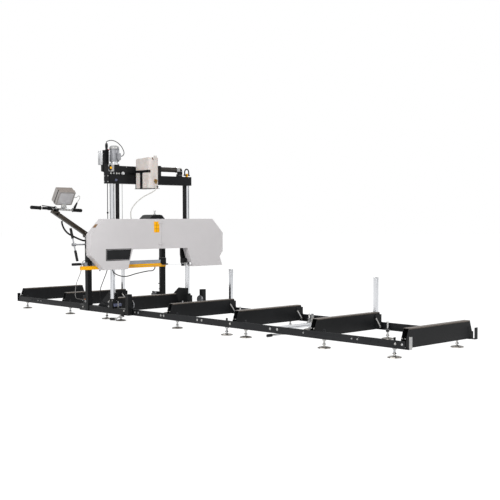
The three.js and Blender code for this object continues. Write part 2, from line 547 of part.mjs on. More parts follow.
const leftSleeves = armSleeves.map((y) => cut(
  box({ x: armSleeve.x, y, z: armSleeve.z }),
  box({ x: armSleeve.cheek, y: [y[0] - gap, y[1] + gap], z: [armSleeve.z[0] - gap, armSleeve.roof] }),
));
const doorHinge = { x: [2042, 2056.6], left: [-417, -385], right: [1215, 1265], z: [[702, 742], [822, 862]] };
const sleeveWeb = { x: frameX, y: [-400, -20], z: [armSleeve.roof + railWall, 700] };
const framePieces = [
  plateX(framePlate, frameX),
  box(topBar),
  box(screwBracket),
  bar([hubHousing.x[0], driveY, wheelZ], [hubHousing.x[1], driveY, wheelZ], hubHousing.radius, 24),
  box({ x: slideRails.x, y: slideRails.y, z: [slot.z[1] + slideRails.clear, slot.z[1] + slideRails.thick] }),
  box({ x: slideRails.x, y: slideRails.y, z: [slot.z[0] - slideRails.thick, slot.z[0] - slideRails.clear] }),
  ...leftSleeves,
  box(sleeveWeb),
  ...doorHinge.z.flatMap((z) => [doorHinge.left, doorHinge.right].map((y) => box({ x: doorHinge.x, y, z }))),
];
const frameCuts = [
  box({ x: [frameX[0] - gap, frameX[1] + gap], y: slot.y, z: slot.window }),
  bar([hubHousing.x[0] - gap, driveY, wheelZ], [frameX[1] + gap, driveY, wheelZ], hubHousing.bore, 24),
  bar([screwX, screwBracket.y[0] - gap, wheelZ], [screwX, screwBracket.y[1] + gap, wheelZ], screwBracket.bore, 12),
];
for (const at of Object.values(sides)) {
  framePieces.push(box({ x: sleeve.x, y: [at(sleeve.y[0]), at(sleeve.y[1])], z: sleeve.z }));
  framePieces.push(box({ x: sleeveBridge.x, y: [at(sleeve.y[0]), at(sleeve.y[1])], z: sleeveBridge.z }));
  frameCuts.push(bar([columnX, at(columnY), sleeve.z[0] - gap], [columnX, at(columnY), sleeve.z[1] + gap], sleeve.bore + gap, 24));
}
const fixedGuide = {
  arm: [[764, 742], [764, 650], [774, 600], [784, 528], [828, 528], [828, 600], [812, 700], [812, 742]], x: [2022, 2041.5],
  block: { x: [2030, 2090], y: [764, 804], z: [562, 612] }, pad: { x: [2060, 2108], y: [766, 802], z: [553.8, 566] },
  pin: { x: 2060, y: 800, z: [530, 600], radius: 8 },
};
add('head_frame', cut(join(...framePieces), ...frameCuts), black);
add('guide_fixed', join(
  plateX([...fixedGuide.arm].reverse(), fixedGuide.x),
  box(fixedGuide.block),
  box(fixedGuide.pad),
  bar([fixedGuide.pin.x, fixedGuide.pin.y, fixedGuide.pin.z[0]], [fixedGuide.pin.x, fixedGuide.pin.y, fixedGuide.pin.z[1]], fixedGuide.pin.radius, 12),
), darkSteel);

// Covers: two doors that close the wheels and the band from the front.
const coverOutline = [
  [-268, 528], [15, 528], [74, 722], [775, 722], [844, 526], [1258, 526], [1223, 621], [1266, 679], [1266, 876],
  [1121, 1025], [-274, 1025], [-418, 877], [-418, 673],
];
const coverWall = 3;
const seam = { y: 432, half: 0.4 };
const bandSlot = { x: [coverBack - gap, 2124], y: [[-10, 110], [750, 870]], z: [544, 566] };
const coverShell = cut(
  plateX(coverOutline, [coverBack, coverFront]),
  plateX(inset(coverOutline, coverWall), [coverBack - gap, coverFront - coverWall]),
  ...bandSlot.y.map((y) => box({ x: bandSlot.x, y, z: bandSlot.z })),
);
const doorHalf = { x: [coverBack - coverWall, coverFront + coverWall], z: [0, beamTop], left: -500, right: 1400 };
add('cover_left', coverShell.intersect(box({ x: doorHalf.x, y: [doorHalf.left, seam.y - seam.half], z: doorHalf.z })), pale);
add('cover_right', coverShell.intersect(box({ x: doorHalf.x, y: [seam.y + seam.half, doorHalf.right], z: doorHalf.z })), pale);

// Band wheels. The drive wheel carries its axle and belt pulley.
const bandWheel = { rim: 205, web: [2091, 2101], hub: 42, back: 2080, front: 2112, bore: 15.4, sides: 48 };
function bandWheelProfile(boreRadius) {
  return [
    [boreRadius, bandWheel.back], [bandWheel.hub, bandWheel.back], [bandWheel.hub, bandWheel.web[0]], [bandWheel.rim, bandWheel.web[0]],
    [bandWheel.rim, bandWheel.back], [wheelRadius, bandWheel.back], [wheelRadius, bandWheel.front], [bandWheel.rim, bandWheel.front],
    [bandWheel.rim, bandWheel.web[1]], [bandWheel.hub, bandWheel.web[1]], [bandWheel.hub, bandWheel.front], [boreRadius, bandWheel.front],
    [boreRadius, bandWheel.back],
  ];
}
const pulley = { x: [1994, 2018], drive: 105, motor: 50, motorY: 490, motorZ: 840, sides: 32, web: 14 };
const axle = { radius: 15, driveX: [1994, 2112], idlerX: [2030, 2110] };
add('drive_wheel', join(
  turned(bandWheelProfile(0).slice(0, -1), 'x', [0, driveY, wheelZ], bandWheel.sides),
  bar([axle.driveX[0], driveY, wheelZ], [axle.driveX[1], driveY, wheelZ], axle.radius, 24),
  bar([pulley.x[0], driveY, wheelZ], [pulley.x[1], driveY, wheelZ], pulley.drive, pulley.sides),
), cast);
add('idler_wheel', turned(bandWheelProfile(bandWheel.bore), 'x', [0, idlerY, wheelZ], bandWheel.sides), cast);

// The idler's sliding block, its axle, and the screw with the tension handle.
const slider = { x: [2012, 2041.4], y: [-196, -118], z: [741.4, 818.6], bore: 8.8, boreEnd: -150 };
add('idler_slide', cut(
  join(box(slider), bar([axle.idlerX[0], idlerY, wheelZ], [axle.idlerX[1], idlerY, wheelZ], axle.radius, 24)),
  bar([screwX, slider.y[0] - gap, wheelZ], [screwX, slider.boreEnd, wheelZ], slider.bore, 12),
), zinc);
const tension = { screw: 8, end: -166, hub: [-556, -520], hubRadius: 16, tilt: 0.35, half: 165, rod: 7, gripFrom: 62, grip: 13 };
const tensionTurn = new THREE.Vector3(Math.sin(tension.tilt), 0, -Math.cos(tension.tilt));
const tensionMiddle = (tension.hub[0] + tension.hub[1]) / 2;
const tensionPoint = (along) => [screwX + tensionTurn.x * along, tensionMiddle, wheelZ + tensionTurn.z * along];
add('tension_handle', join(
  bar([screwX, tension.hub[0], wheelZ], [screwX, tension.end, wheelZ], tension.screw, 12),
  bar([screwX, tension.hub[0], wheelZ], [screwX, tension.hub[1], wheelZ], tension.hubRadius, 12),
  bar(tensionPoint(-tension.half), tensionPoint(tension.half), tension.rod, 10),
  bar(tensionPoint(-tension.half), tensionPoint(-tension.gripFrom), tension.grip, 12),
  bar(tensionPoint(tension.gripFrom), tensionPoint(tension.half), tension.grip, 12),
), zinc);

// Saw band: one thin loop round both wheels.
const band = { clear: 0.9, thick: 1.2, sides: 24 };
const bandInner = wheelRadius + band.clear;
add('saw_band', cut(
  plateX(loopOutline([idlerY, wheelZ], bandInner + band.thick, [driveY, wheelZ], bandInner + band.thick, band.sides), bandX),
  plateX(loopOutline([idlerY, wheelZ], bandInner, [driveY, wheelZ], bandInner, band.sides), [bandX[0] - gap, bandX[1] + gap]),
), zinc);

// Drive motor with its shroud, its pulley and the belt to the drive wheel.
const shroud = {
  outline: [[386, 760], [640, 760], [644, 800], [624, 1020], [580, 1066], [464, 1066], [410, 1020], [386, 800]], x: [1780, 1960],
  mount: { x: [1950, 1999.5], y: [412, 600], z: [926, 998] }, bearing: { x: [1955, 1988], radius: 40 },
  knob: { x: 1850, y: 568, radius: 8, top: 1113 }, bore: 15, boreBack: 1940,
};
add('drive_motor', cut(
  join(
    plateX(shroud.outline, shroud.x),
    box(shroud.mount),
    bar([shroud.bearing.x[0], pulley.motorY, pulley.motorZ], [shroud.bearing.x[1], pulley.motorY, pulley.motorZ], shroud.bearing.radius, 20),
    bar([shroud.knob.x, shroud.knob.y, wheelZ], [shroud.knob.x, shroud.knob.y, shroud.knob.top], shroud.knob.radius, 10),
  ),
  bar([shroud.boreBack, pulley.motorY, pulley.motorZ], [shroud.bearing.x[1] + gap, pulley.motorY, pulley.motorZ], shroud.bore, 20),
), black);
add('motor_pulley', join(
  bar([pulley.x[0], pulley.motorY, pulley.motorZ], [pulley.x[1], pulley.motorY, pulley.motorZ], pulley.motor, 24),
  bar([shroud.boreBack + gap, pulley.motorY, pulley.motorZ], [pulley.x[0], pulley.motorY, pulley.motorZ], pulley.web, 20),
), cast);
const belt = { clear: 0.9, thick: 6, x: [1997, 2015], sides: 16 };
add('drive_belt', cut(
  plateX(loopOutline([pulley.motorY, pulley.motorZ], pulley.motor + belt.clear + belt.thick, [driveY, wheelZ], pulley.drive + belt.clear + belt.thick, belt.sides), belt.x),
  plateX(loopOutline([pulley.motorY, pulley.motorZ], pulley.motor + belt.clear, [driveY, wheelZ], pulley.drive + belt.clear, belt.sides), [belt.x[0] - gap, belt.x[1] + gap]),
), rubber);

// Sliding guide arm: a steel bar, the yellow guard under it, the guide block and the grip.
const guideArm = {
  bar: { y: [-430, 500], z: [568, 568 + armSize] }, guard: { x: [2012, 2052], y: [-463, 555], z: [533, 568.5] },
  block: { x: [2020, 2056], y: [488, 556], z: [562, 624] }, pad: { x: [2050, 2108], y: [500, 540], z: [553.8, 566] },
  grip: { from: -560, to: -466, radius: 13, z: 590 }, neck: { y: [-470, -425], radius: 9 }, pin: { y: -246, low: 514, radius: 6 },
};
add('guide_arm', join(
  box({ x: armX, y: guideArm.bar.y, z: guideArm.bar.z }),
  box(guideArm.guard),
  bar([screwX, guideArm.pin.y, guideArm.pin.low], [screwX, guideArm.pin.y, guideArm.guard.z[1]], guideArm.pin.radius, 10),
  box(guideArm.block),
  box(guideArm.pad),
  bar([screwX, guideArm.grip.from, guideArm.grip.z], [screwX, guideArm.grip.to, guideArm.grip.z], guideArm.grip.radius, 12),
  bar([screwX, guideArm.neck.y[0], guideArm.grip.z], [screwX, guideArm.neck.y[1], guideArm.grip.z], guideArm.neck.radius, 12),
), yellow);

// Lifting straps from the beam down to the head's sleeves.
const strap = { x: [1970, 1976], y: [-13, 31], low: sleeve.z[1] + gap, high: gearBlock.z[0] - gap };
for (const [side, at] of Object.entries(sides)) {
  const top = side === 'near' ? gearBlock.z[0] : beamBottom;
  add(`lift_strap_${side}`, box({ x: strap.x, y: [at(strap.y[0]), at(strap.y[1])], z: [strap.low, top - gap] }), rubber);
}

// Hoses and cables, in the places that they hang in.
const hoses = {
  hose_tank: { radius: 5, steps: 34, material: clearHose, points: [
    [2254, 278, 1375.6], [2254, 278, 1346], [2253, 275, 1316], [2228, 256, 1294], [2150, 200, 1246], [2100, 156, 1194], [2062, 126, 1136], [2040, 124, 1092], [2034, 128, 1052], [2034, 132, 1020], [2034, 132, 1000.4],
  ] },
  cable_loop: { radius: 4, steps: 40, material: rubber, points: [
    [1882, -54, 1782.4], [1882, -54, 1796], [1895, -35, 1808], [1910, -11, 1812], [1930, 21, 1802], [1950, 46, 1780], [1970, 67, 1748], [1985, 76, 1716], [1994, 79, 1691], [1998, 72, 1670], [1998, 58, 1656], [1998, 46, 1652], [1998, 28.4, 1652],
  ] },
  hose_guide: { radius: 5, steps: 50, material: rubber, points: [
    [2004.6, -41, 600], [1997, -41, 600], [1991, -52, 574], [1993, -72, 528], [2006, -62, 490], [2026, -10, 459], [2036, 60, 449], [2036, 192, 473], [2034, 337, 492], [2032, 402, 496], [2032, 427, 519], [2032, 427, 532.6],
  ] },
  conduit_arm: { radius: 9, steps: 30, material: rubber, points: [
    [1517, -352, 1006.4], [1517, -352, 984], [1517, -332, 934], [1517, -290, 886], [1517, -200, 840], [1517, -130, 812], [1517, -96, 803], [1517, -67.4, 803],
  ] },
  cable_head: { radius: 4, steps: 44, material: rubber, points: [
    [1972, -78, 849.6], [1972, -78, 800], [1968, -90, 660], [1958, -110, 520], [1925, -140, 400], [1900, -153, 326], [1880, -142, 250], [1874, -120, 205], [1876, -80, 178], [1888, -52, 170], [1902, -50, 170], [1914.6, -50, 170],
  ] },
  cable_near: { radius: 3, steps: 50, material: clearHose, points: [
    [2009, -400.4, 622], [2009, -414, 622], [2000, -430, 600], [1988, -436, 520], [1930, -450, 400], [1830, -400, 320], [1700, -319, 262], [1560, -220, 222], [1466, -140, 200], [1452, -84, 190], [1462, -52, 190], [1478, -50, 190], [1491.6, -50, 190],
  ] },
  cable_cabinet: { radius: 4, steps: 50, material: rubber, points: [
    [1872, -60, 1494.6], [1872, -60, 1480], [1876, -72, 1462], [1886, -74, 1440], [1896, -64, 1426], [1900, -60, 1396], [1900, -59, 1340], [1900, -59, 1230], [1900, -59, 1100], [1898, -56, 1020], [1897, -52, 978], [1903, -50, 960], [1913.6, -50, 960],
  ] },
};
for (const [name, hose] of Object.entries(hoses)) {
  add(name, tube(hose.points, hose.radius, 8, hose.steps), hose.material, true);
}

// The origin is the middle of the object's footprint, on the ground.
const bounds = new THREE.Box3();
for (const mesh of mill.children) {
  if (!mesh.userData.cord) bounds.expandByObject(mesh);
}
const middle = bounds.getCenter(new THREE.Vector3());
mill.position.set(-middle.x, -middle.y, -bounds.min.z);

export default mill;
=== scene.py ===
import json
import bmesh
import bpy
from itertools import product
from math import atan2, cos, hypot, pi, radians, sin, tau
from mathutils import Matrix, Vector


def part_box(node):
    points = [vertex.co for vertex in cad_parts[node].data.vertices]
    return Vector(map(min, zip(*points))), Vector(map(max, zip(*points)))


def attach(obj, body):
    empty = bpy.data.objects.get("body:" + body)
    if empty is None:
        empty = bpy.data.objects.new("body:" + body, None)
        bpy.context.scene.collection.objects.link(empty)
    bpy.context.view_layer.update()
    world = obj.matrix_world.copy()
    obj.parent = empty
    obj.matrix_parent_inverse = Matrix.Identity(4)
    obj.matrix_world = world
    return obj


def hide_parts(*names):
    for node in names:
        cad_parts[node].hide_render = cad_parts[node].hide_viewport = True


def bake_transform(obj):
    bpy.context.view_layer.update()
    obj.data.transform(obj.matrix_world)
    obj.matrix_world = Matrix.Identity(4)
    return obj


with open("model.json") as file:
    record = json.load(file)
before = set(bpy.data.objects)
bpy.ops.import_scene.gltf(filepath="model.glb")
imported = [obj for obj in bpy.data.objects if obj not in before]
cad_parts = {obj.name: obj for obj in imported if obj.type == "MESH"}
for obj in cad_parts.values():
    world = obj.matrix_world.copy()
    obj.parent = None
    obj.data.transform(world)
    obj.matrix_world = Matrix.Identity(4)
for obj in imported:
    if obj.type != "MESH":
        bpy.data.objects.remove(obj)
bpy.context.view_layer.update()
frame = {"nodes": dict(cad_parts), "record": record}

# The bed's own frame, in millimetres: X from the rails' left ends, Y from the near rail's outer
# face, Z from the ground. The pieces are drawn in it and then moved to the row frame.
columnX, columnY, armX, clampX, coverX = 1955, -42, 1517, 4182, 2140
ahead, behind, toNear, toFar, upward = (1, 0, 0), (-1, 0, 0), (0, -1, 0), (0, 1, 0), (0, 0, 1)
columnLow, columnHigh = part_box("column_near")
columnMiddle = (columnLow + columnHigh) / 2
bedOrigin = Vector((columnMiddle.x - columnX / 1000, columnMiddle.y - columnY / 1000, 0))


def place(x, y, z):
    return bedOrigin + Vector((x, y, z)) / 1000


def addObject(name, data):
    made = bpy.data.objects.new(name, data)
    bpy.context.collection.objects.link(made)
    return made


def emptyTree(owner):
    # the nodes of a material or world, cleared
    owner.use_nodes = True
    owner.node_tree.nodes.clear()
    return owner.node_tree


cameraSetup = {"at": (9602, -5332.5, 1018.9), "heading": 46.816, "tilt": 87.635, "roll": -0.141,
               "lens": 66.18, "shift": 0.01442}
cameraData = bpy.data.cameras.new("camera")
cameraData.lens = cameraSetup["lens"]
cameraData.sensor_width = 36
cameraData.sensor_fit = "HORIZONTAL"
cameraData.shift_y = cameraSetup["shift"]
cameraData.clip_end = 60
camera = addObject("camera", cameraData)
heading, tilt, roll = (Matrix.Rotation(radians(cameraSetup[name]), 4, axis)
                       for name, axis in (("heading", "Z"), ("tilt", "X"), ("roll", "Z")))
camera.matrix_world = Matrix.Translation(place(*cameraSetup["at"])) @ (heading @ tilt) @ roll
bpy.context.scene.camera = camera
bpy.context.scene.view_settings.view_transform = "Standard"
print("camera set")


def linear(code):
    parts = [int(code[i:i + 2], 16) / 255 for i in (1, 3, 5)]
    return tuple(p / 12.92 if p <= 0.04045 else ((p + 0.055) / 1.055) ** 2.4 for p in parts) + (1,)


def addNode(tree, kind, settings=None, links=None):
    # settings holds sockets and properties, links holds the output that feeds each socket, by name or number
    made = tree.nodes.new(kind)
    for name, value in (settings or {}).items():
        if name in made.inputs:
            made.inputs[name].default_value = value
        else:
            setattr(made, name, value)
    for name, output in (links or {}).items():
        tree.links.new(output, made.inputs[name])
    return made


evenSockets = {"specular": "Specular IOR Level", "metallic": "Metallic", "wax": "Subsurface Weight",
    "waxDepth": "Subsurface Scale"}


def surface(name, **look):
    # colour and gloss drift slowly over patches, with a fine raised grain, both sized in millimetres
    material = bpy.data.materials.new(name)
    tree = emptyTree(material)
    objectPlace = addNode(tree, "ShaderNodeTexCoord").outputs["Object"]
    stretched = addNode(tree, "ShaderNodeMapping", {"Scale": look.get("stretch", (1, 1, 1))},
        {"Vector": objectPlace})
    grainPlace = {"Vector": stretched.outputs["Vector"]}
    drift = addNode(tree, "ShaderNodeTexNoise",
        {"Scale": 1000 / look["patch"], "Detail": 4, "Roughness": 0.6}, grainPlace)
    tint = addNode(tree, "ShaderNodeValToRGB", {}, {"Fac": drift.outputs["Fac"]})
    for element, share, code in zip(tint.color_ramp.elements, (0.32, 0.7), (look["colour"], look["second"])):
        element.position = share
        element.color = linear(code)
    low, high = look["rough"]
    gloss = addNode(tree, "ShaderNodeMapRange", {"To Min": low, "To Max": high},
        {"Value": drift.outputs["Fac"]})
    kind = look.get("grainKind", "ShaderNodeTexNoise")
    grain = addNode(tree, kind, {"Scale": 1000 / look["grain"]}, grainPlace)
    height = grain.outputs["Distance" if kind == "ShaderNodeTexVoronoi" else "Fac"]
    bump = addNode(tree, "ShaderNodeBump", {"Strength": look["bump"], "Distance": look["depth"] / 1000},
        {"Height": height})
    even = {evenSockets[key]: value for key, value in look.items() if key in evenSockets}
    shader = addNode(tree, "ShaderNodeBsdfPrincipled", even, {
        "Base Color": tint.outputs["Color"], "Roughness": gloss.outputs["Result"],
        "Normal": bump.outputs["Normal"]})
    addNode(tree, "ShaderNodeOutputMaterial", {}, {"Surface": shader.outputs["BSDF"]})
    return material


# Satin black powder coat on steel: a soft sheen over orange peel about 3 mm across.
blackCoat = surface("powder-coated steel, satin black", colour="#111213", second="#18191b",
    rough=(0.34, 0.48), patch=260, grain=3, bump=0.22, depth=0.2, specular=0.16)
# The same coat where rain and hands have dulled it, on the bed's rails.
greyBlackCoat = surface("powder-coated steel, weathered black", colour="#17181a", second="#202123",
    rough=(0.4, 0.54), patch=340, grain=3, bump=0.22, depth=0.2, specular=0.2)
# Hammered enamel: brown-black cells 7 mm across, each catching the light.
# Grease has darkened it on the lift shaft.
enamelLook = {"patch": 14, "grain": 7, "grainKind": "ShaderNodeTexVoronoi", "bump": 0.5, "depth": 0.8}
hammered = surface("hammered enamel, brown black", colour="#2e2924", second="#453d34", rough=(0.28, 0.42),
    specular=0.35, **enamelLook)
greasedEnamel = surface("hammered enamel, greasy black", colour="#1b1713", second="#2e2721",
    rough=(0.3, 0.44), specular=0.3, **enamelLook)
# Light grey powder coat on the folded covers: even and matt, with the faintest peel.
paleCoat = surface("powder-coated sheet, light grey", colour="#cfcccd", second="#c8c5c6", rough=(0.42, 0.5),
    patch=700, grain=2.5, bump=0.08, depth=0.12, specular=0.3)
# Hard chrome on ground bar: a mirror with a trace of grinding round it.
hardChrome = surface("hard chrome on ground bar", colour="#c9cbcf", second="#dfe0e2", rough=(0.1, 0.17),
    patch=90, stretch=(1, 1, 0.15), grain=3, bump=0.03, depth=0.05, metallic=1.0)
# Bright zinc plate: grey-blue with warm drifts, a little cloudy.
zincPlate = surface("zinc plate on steel", colour="#a3a6ab", second="#c4c1ba", rough=(0.26, 0.42), patch=22,
    grain=2, bump=0.08, depth=0.1, metallic=1.0)
# Zinc on the foot plates, darker and duller than the bright zinc; the brown in it is a painted reflection.
darkZincPaintedReflection = surface("zinc plate, dulled", colour="#6f6a64", second="#97948f", rough=(0.34, 0.5), patch=30,
    grain=2, bump=0.12, depth=0.1, metallic=0.9)
# Sand-cast aluminium: grey, grainy at about 2 mm, duller in patches.
castAluminium = surface("cast aluminium", colour="#85868a", second="#a2a3a6", rough=(0.38, 0.52), patch=40,
    grain=2, bump=0.3, depth=0.3, metallic=0.85)
# Turned cast iron on the rims and hubs: fine rings left by the tool.
turnedIron = surface("turned cast iron", colour="#77787b", second="#919295", rough=(0.3, 0.44), patch=60,
    grain=2, bump=0.15, depth=0.15, metallic=1.0)
# Blow-moulded polyethylene: milky, waxy, slightly uneven.
polyethylene = surface("polyethylene, blow moulded", colour="#d2cbc7", second="#c7beb8", rough=(0.38, 0.5),
    patch=70, grain=5, bump=0.1, depth=0.3, wax=0.08, waxDepth=0.01, specular=0.35)
# Yellow powder coat, glossy and even.
yellowCoat = surface("powder-coated steel, yellow", colour="#ffba00", second="#f8ae00", rough=(0.32, 0.42),
    patch=160, grain=3, bump=0.15, depth=0.15, specular=0.2)
# Nitrile rubber: deep black, dull, faintly pitted.
nitrile = surface("nitrile rubber", colour="#101011", second="#181819", rough=(0.55, 0.72), patch=40,
    grain=1.5, bump=0.25, depth=0.15, specular=0.2)
# Woven polyester webbing: ribs across the strap every 6 mm, drawn coarser than the real 2 mm to show.
webbing = surface("polyester webbing, woven", colour="#141415", second="#1f1f21", rough=(0.62, 0.75),
    patch=25, stretch=(0.4, 0.4, 1), grain=6, bump=0.6, depth=0.8, specular=0.2)
# Moulded ABS with a spark-eroded grain: matt greys on the control box, satin black on small housings. The
# light grey is the box's grey made lighter as painted light, on the face that leans down and is lit less.
dustyAbs = surface("ABS, moulded grey, weathered", colour="#7c726b", second="#887e77", rough=(0.5, 0.6),
    patch=60, grain=1.8, bump=0.2, depth=0.15, specular=0.25)
mouldedLook = {"rough": (0.44, 0.55), "patch": 120, "grain": 1.8, "bump": 0.2, "depth": 0.15}
paintedLitAbs = surface("ABS, moulded light grey", colour="#c9c8ca", second="#bfbdbf", **mouldedLook)
greyAbs = surface("ABS, moulded grey", colour="#a09c99", second="#969290", **mouldedLook)
blackAbs = surface("ABS, moulded black", colour="#131415", second="#191a1c", rough=(0.38, 0.5), patch=90,
    grain=1.8, bump=0.25, depth=0.15, specular=0.2)
# Steel strip over the bunks' tops: brown-grey and satin, with hair lines along it. Its lighter colour down
# the top of each bunk face is painted sheen, standing for the floor's reflection.
paintedSheenStrip = surface("steel strip, worn", colour="#4d463f", second="#6b625b", rough=(0.4, 0.55), patch=40,
    stretch=(6, 0.15, 1), grain=3, bump=0.1, depth=0.1, metallic=0.3, specular=0.3)
# Ground bar of the blade guide: blue-grey and satin.
guideSteel = surface("steel bar, ground", colour="#7d8188", second="#989ba1", rough=(0.42, 0.55), patch=60,
    stretch=(4, 0.3, 1), grain=3, bump=0.08, depth=0.06, metallic=0.4)
# Hardened band steel: blue-grey, ground lengthways.
bandSteel = surface("band steel, ground", colour="#8b9098", second="#a4a8ae", rough=(0.22, 0.34), patch=60,
    stretch=(4, 0.3, 1), grain=3, bump=0.06, depth=0.05, metallic=1.0)
# Flexible PVC hose: milky and a little glossy.
pvcHose = surface("PVC hose, milky", colour="#cfcdc9", second="#bfbdb8", rough=(0.25, 0.35), patch=60,
    grain=5, bump=0.05, depth=0.1)
# Thin grey lead with a dull skin.
greyLead = surface("PVC lead, grey", colour="#6d6a68", second="#7b7875", rough=(0.4, 0.5), patch=30, grain=2,
    bump=0.08, depth=0.06)
# Turned brass: warm, a little tarnished.
brass = surface("brass, turned", colour="#8a6a3c", second="#a98a55", rough=(0.28, 0.4), patch=15, grain=2,
    bump=0.08, depth=0.1, metallic=1.0)
# Coloured ABS on switches and plugs: even, with a soft sheen.
signalLook = {"rough": (0.32, 0.42), "patch": 30, "grain": 2, "bump": 0.1, "depth": 0.1}
signalRed = surface("ABS, moulded red", colour="#b3202a", second="#a51c26", **signalLook)
signalBlue = surface("ABS, moulded blue", colour="#5a6079", second="#4c5068", **signalLook)
signalGreen = surface("ABS, moulded green", colour="#2c7a3d", second="#276f37", **signalLook)
# Nylon of a small cable sleeve: plain orange.
orangeNylon = surface("nylon, moulded orange", colour="#c9772a", second="#bb6c24", rough=(0.35, 0.45),
    patch=20, grain=2, bump=0.1, depth=0.1)
# Vinyl sheet on the left cover's slope: a warm brown, smooth and glossy. The same brown is painted into the
# tank's handle notch as painted shade.
brownVinylAndNotchShade = surface("vinyl sheet, brown", colour="#8a5f1c", second="#6c4510", rough=(0.3, 0.4), patch=24,
    grain=3, bump=0.04, depth=0.05)
# Drawn aluminium on the cooler's ribs: pale and even, lines run down the ribs.
drawnAluminium = surface("drawn aluminium, pale", colour="#bdbec0", second="#d2d3d4", rough=(0.34, 0.46),
    patch=60, stretch=(1, 1, 0.1), grain=2, bump=0.1, depth=0.1, metallic=0.9)
# Acrylic window of the display: dark and nearly mirror smooth.
displayGlass = surface("acrylic window, smoked", colour="#20262a", second="#252c30", rough=(0.08, 0.14),
    patch=50, grain=4, bump=0.02, depth=0.05)
print("materials made")


# Shared shapes, drawn in the bed's millimetres.
def block(bm, x, y, z, turn=None):
    low = Vector((min(x), min(y), min(z)))
    high = Vector((max(x), max(y), max(z)))
    matrix = Matrix.Translation((low + high) / 2) @ Matrix.Diagonal((*(high - low), 1))
    made = bmesh.ops.create_cube(bm, size=1, matrix=matrix)["verts"]
    if turn:
        centre, matrix = turn
        bmesh.ops.rotate(bm, cent=centre, matrix=matrix, verts=made)
    return made


def rod(bm, start, end, radius, sides=20, endRadius=None):
    start, end = Vector(start), Vector(end)
    along = end - start
    turned = Vector((0, 0, 1)).rotation_difference(along).to_matrix().to_4x4()
    matrix = Matrix.Translation((start + end) / 2) @ turned
    return bmesh.ops.create_cone(bm, cap_ends=True, cap_tris=False, segments=sides, radius1=radius,
                                 radius2=radius if endRadius is None else endRadius, depth=along.length,
                                 matrix=matrix)["verts"]


def pin(bm, x, y, z, radius, sides=20, endRadius=None):
    # a rod along one axis: the pair among x, y and z says which, and where it starts and ends
    start, end = ([v[i] if isinstance(v, tuple) else v for v in (x, y, z)] for i in (0, 1))
    return rod(bm, start, end, radius, sides, endRadius)


def around(count, radius, u, v, start=0):
    # places set evenly round a circle
    angles = [start + step * tau / count for step in range(count)]
    return [(u + radius * cos(angle), v + radius * sin(angle)) for angle in angles]


def hexBolt(bm, at, axis, size, washer=True):
    # a washer, a six-sided head and its crown, standing out along axis
    at, axis = Vector(at), Vector(axis).normalized()
    lift = 0
    if washer:
        rod(bm, at, at + axis * size * 0.18, size * 1.05, 20)
        lift = size * 0.18
    rod(bm, at + axis * lift, at + axis * (lift + size * 0.55), size * 0.86, 6)
    rod(bm, at + axis * (lift + size * 0.55), at + axis * (lift + size * 0.64), size * 0.74, 12, size * 0.6)


def bolts(bm, x, y, z, axis, size, washer=True):
    # a bolt wherever the listed x, y and z cross
    for at in product(*(v if isinstance(v, tuple) else (v,) for v in (x, y, z))):
        hexBolt(bm, at, axis, size, washer)


def plate(bm, outline, axis, low, high):
    # an outline drawn in the other two axes and pulled to a thickness
    def corner(u, v):
        return {"x": (low, u, v), "y": (u, low, v), "z": (u, v, low)}[axis]
    face = bm.faces.new([bm.verts.new(corner(u, v)) for u, v in outline])
    moved = bmesh.ops.extrude_face_region(bm, geom=[face])["geom"]
    step = Vector([(high - low) if axis == name else 0 for name in "xyz"])
    made = [part for part in moved if isinstance(part, bmesh.types.BMVert)]
    bmesh.ops.translate(bm, verts=made, vec=step)
    return made


def smoothPath(points, steps):
    # the same centripetal curve through the points that the solids follow
    points = [Vector(p) for p in points]
    points = [points[0] * 2 - points[1]] + points + [points[-1] * 2 - points[-2]]
    path = []
    for i in range(1, len(points) - 2):
        a, b, c, d = points[i - 1:i + 3]
        ab, bc, cd = ((q - p).length ** 0.5 for p, q in ((a, b), (b, c), (c, d)))
        before = (b - a) / ab - (c - a) / (ab + bc) + (c - b) / bc
        after = (c - b) / bc - (d - b) / (bc + cd) + (d - c) / cd
        for step in range(steps):
            t = step / steps
            h = (2 * t ** 3 - 3 * t ** 2 + 1, t ** 3 - 2 * t ** 2 + t, -2 * t ** 3 + 3 * t ** 2,
                t ** 3 - t ** 2)
            path.append(b * h[0] + before * bc * h[1] + c * h[2] + after * bc * h[3])
    return path + [points[-2]]


def tubeMesh(name, path, radius, sides=12):
    # a round tube along a path in metres, made as a curve and kept as a mesh
    curve = bpy.data.curves.new(name, "CURVE")
    curve.dimensions = "3D"
    curve.bevel_depth = radius
    curve.bevel_resolution = max(1, sides // 4 - 1)
    curve.use_fill_caps = True
    spline = curve.splines.new("POLY")
    spline.points.add(len(path) - 1)
    for point, at in zip(spline.points, path):
        point.co = (*at, 1)
    drawn = addObject(name + "_curve", curve)
    bpy.context.view_layer.update()
    mesh = bpy.data.meshes.new_from_object(drawn)
    bpy.data.objects.remove(drawn)
    mesh.name = name
    made = addObject(name, mesh)
    mesh.polygons.foreach_set("use_smooth", [True] * len(mesh.polygons))
    return made


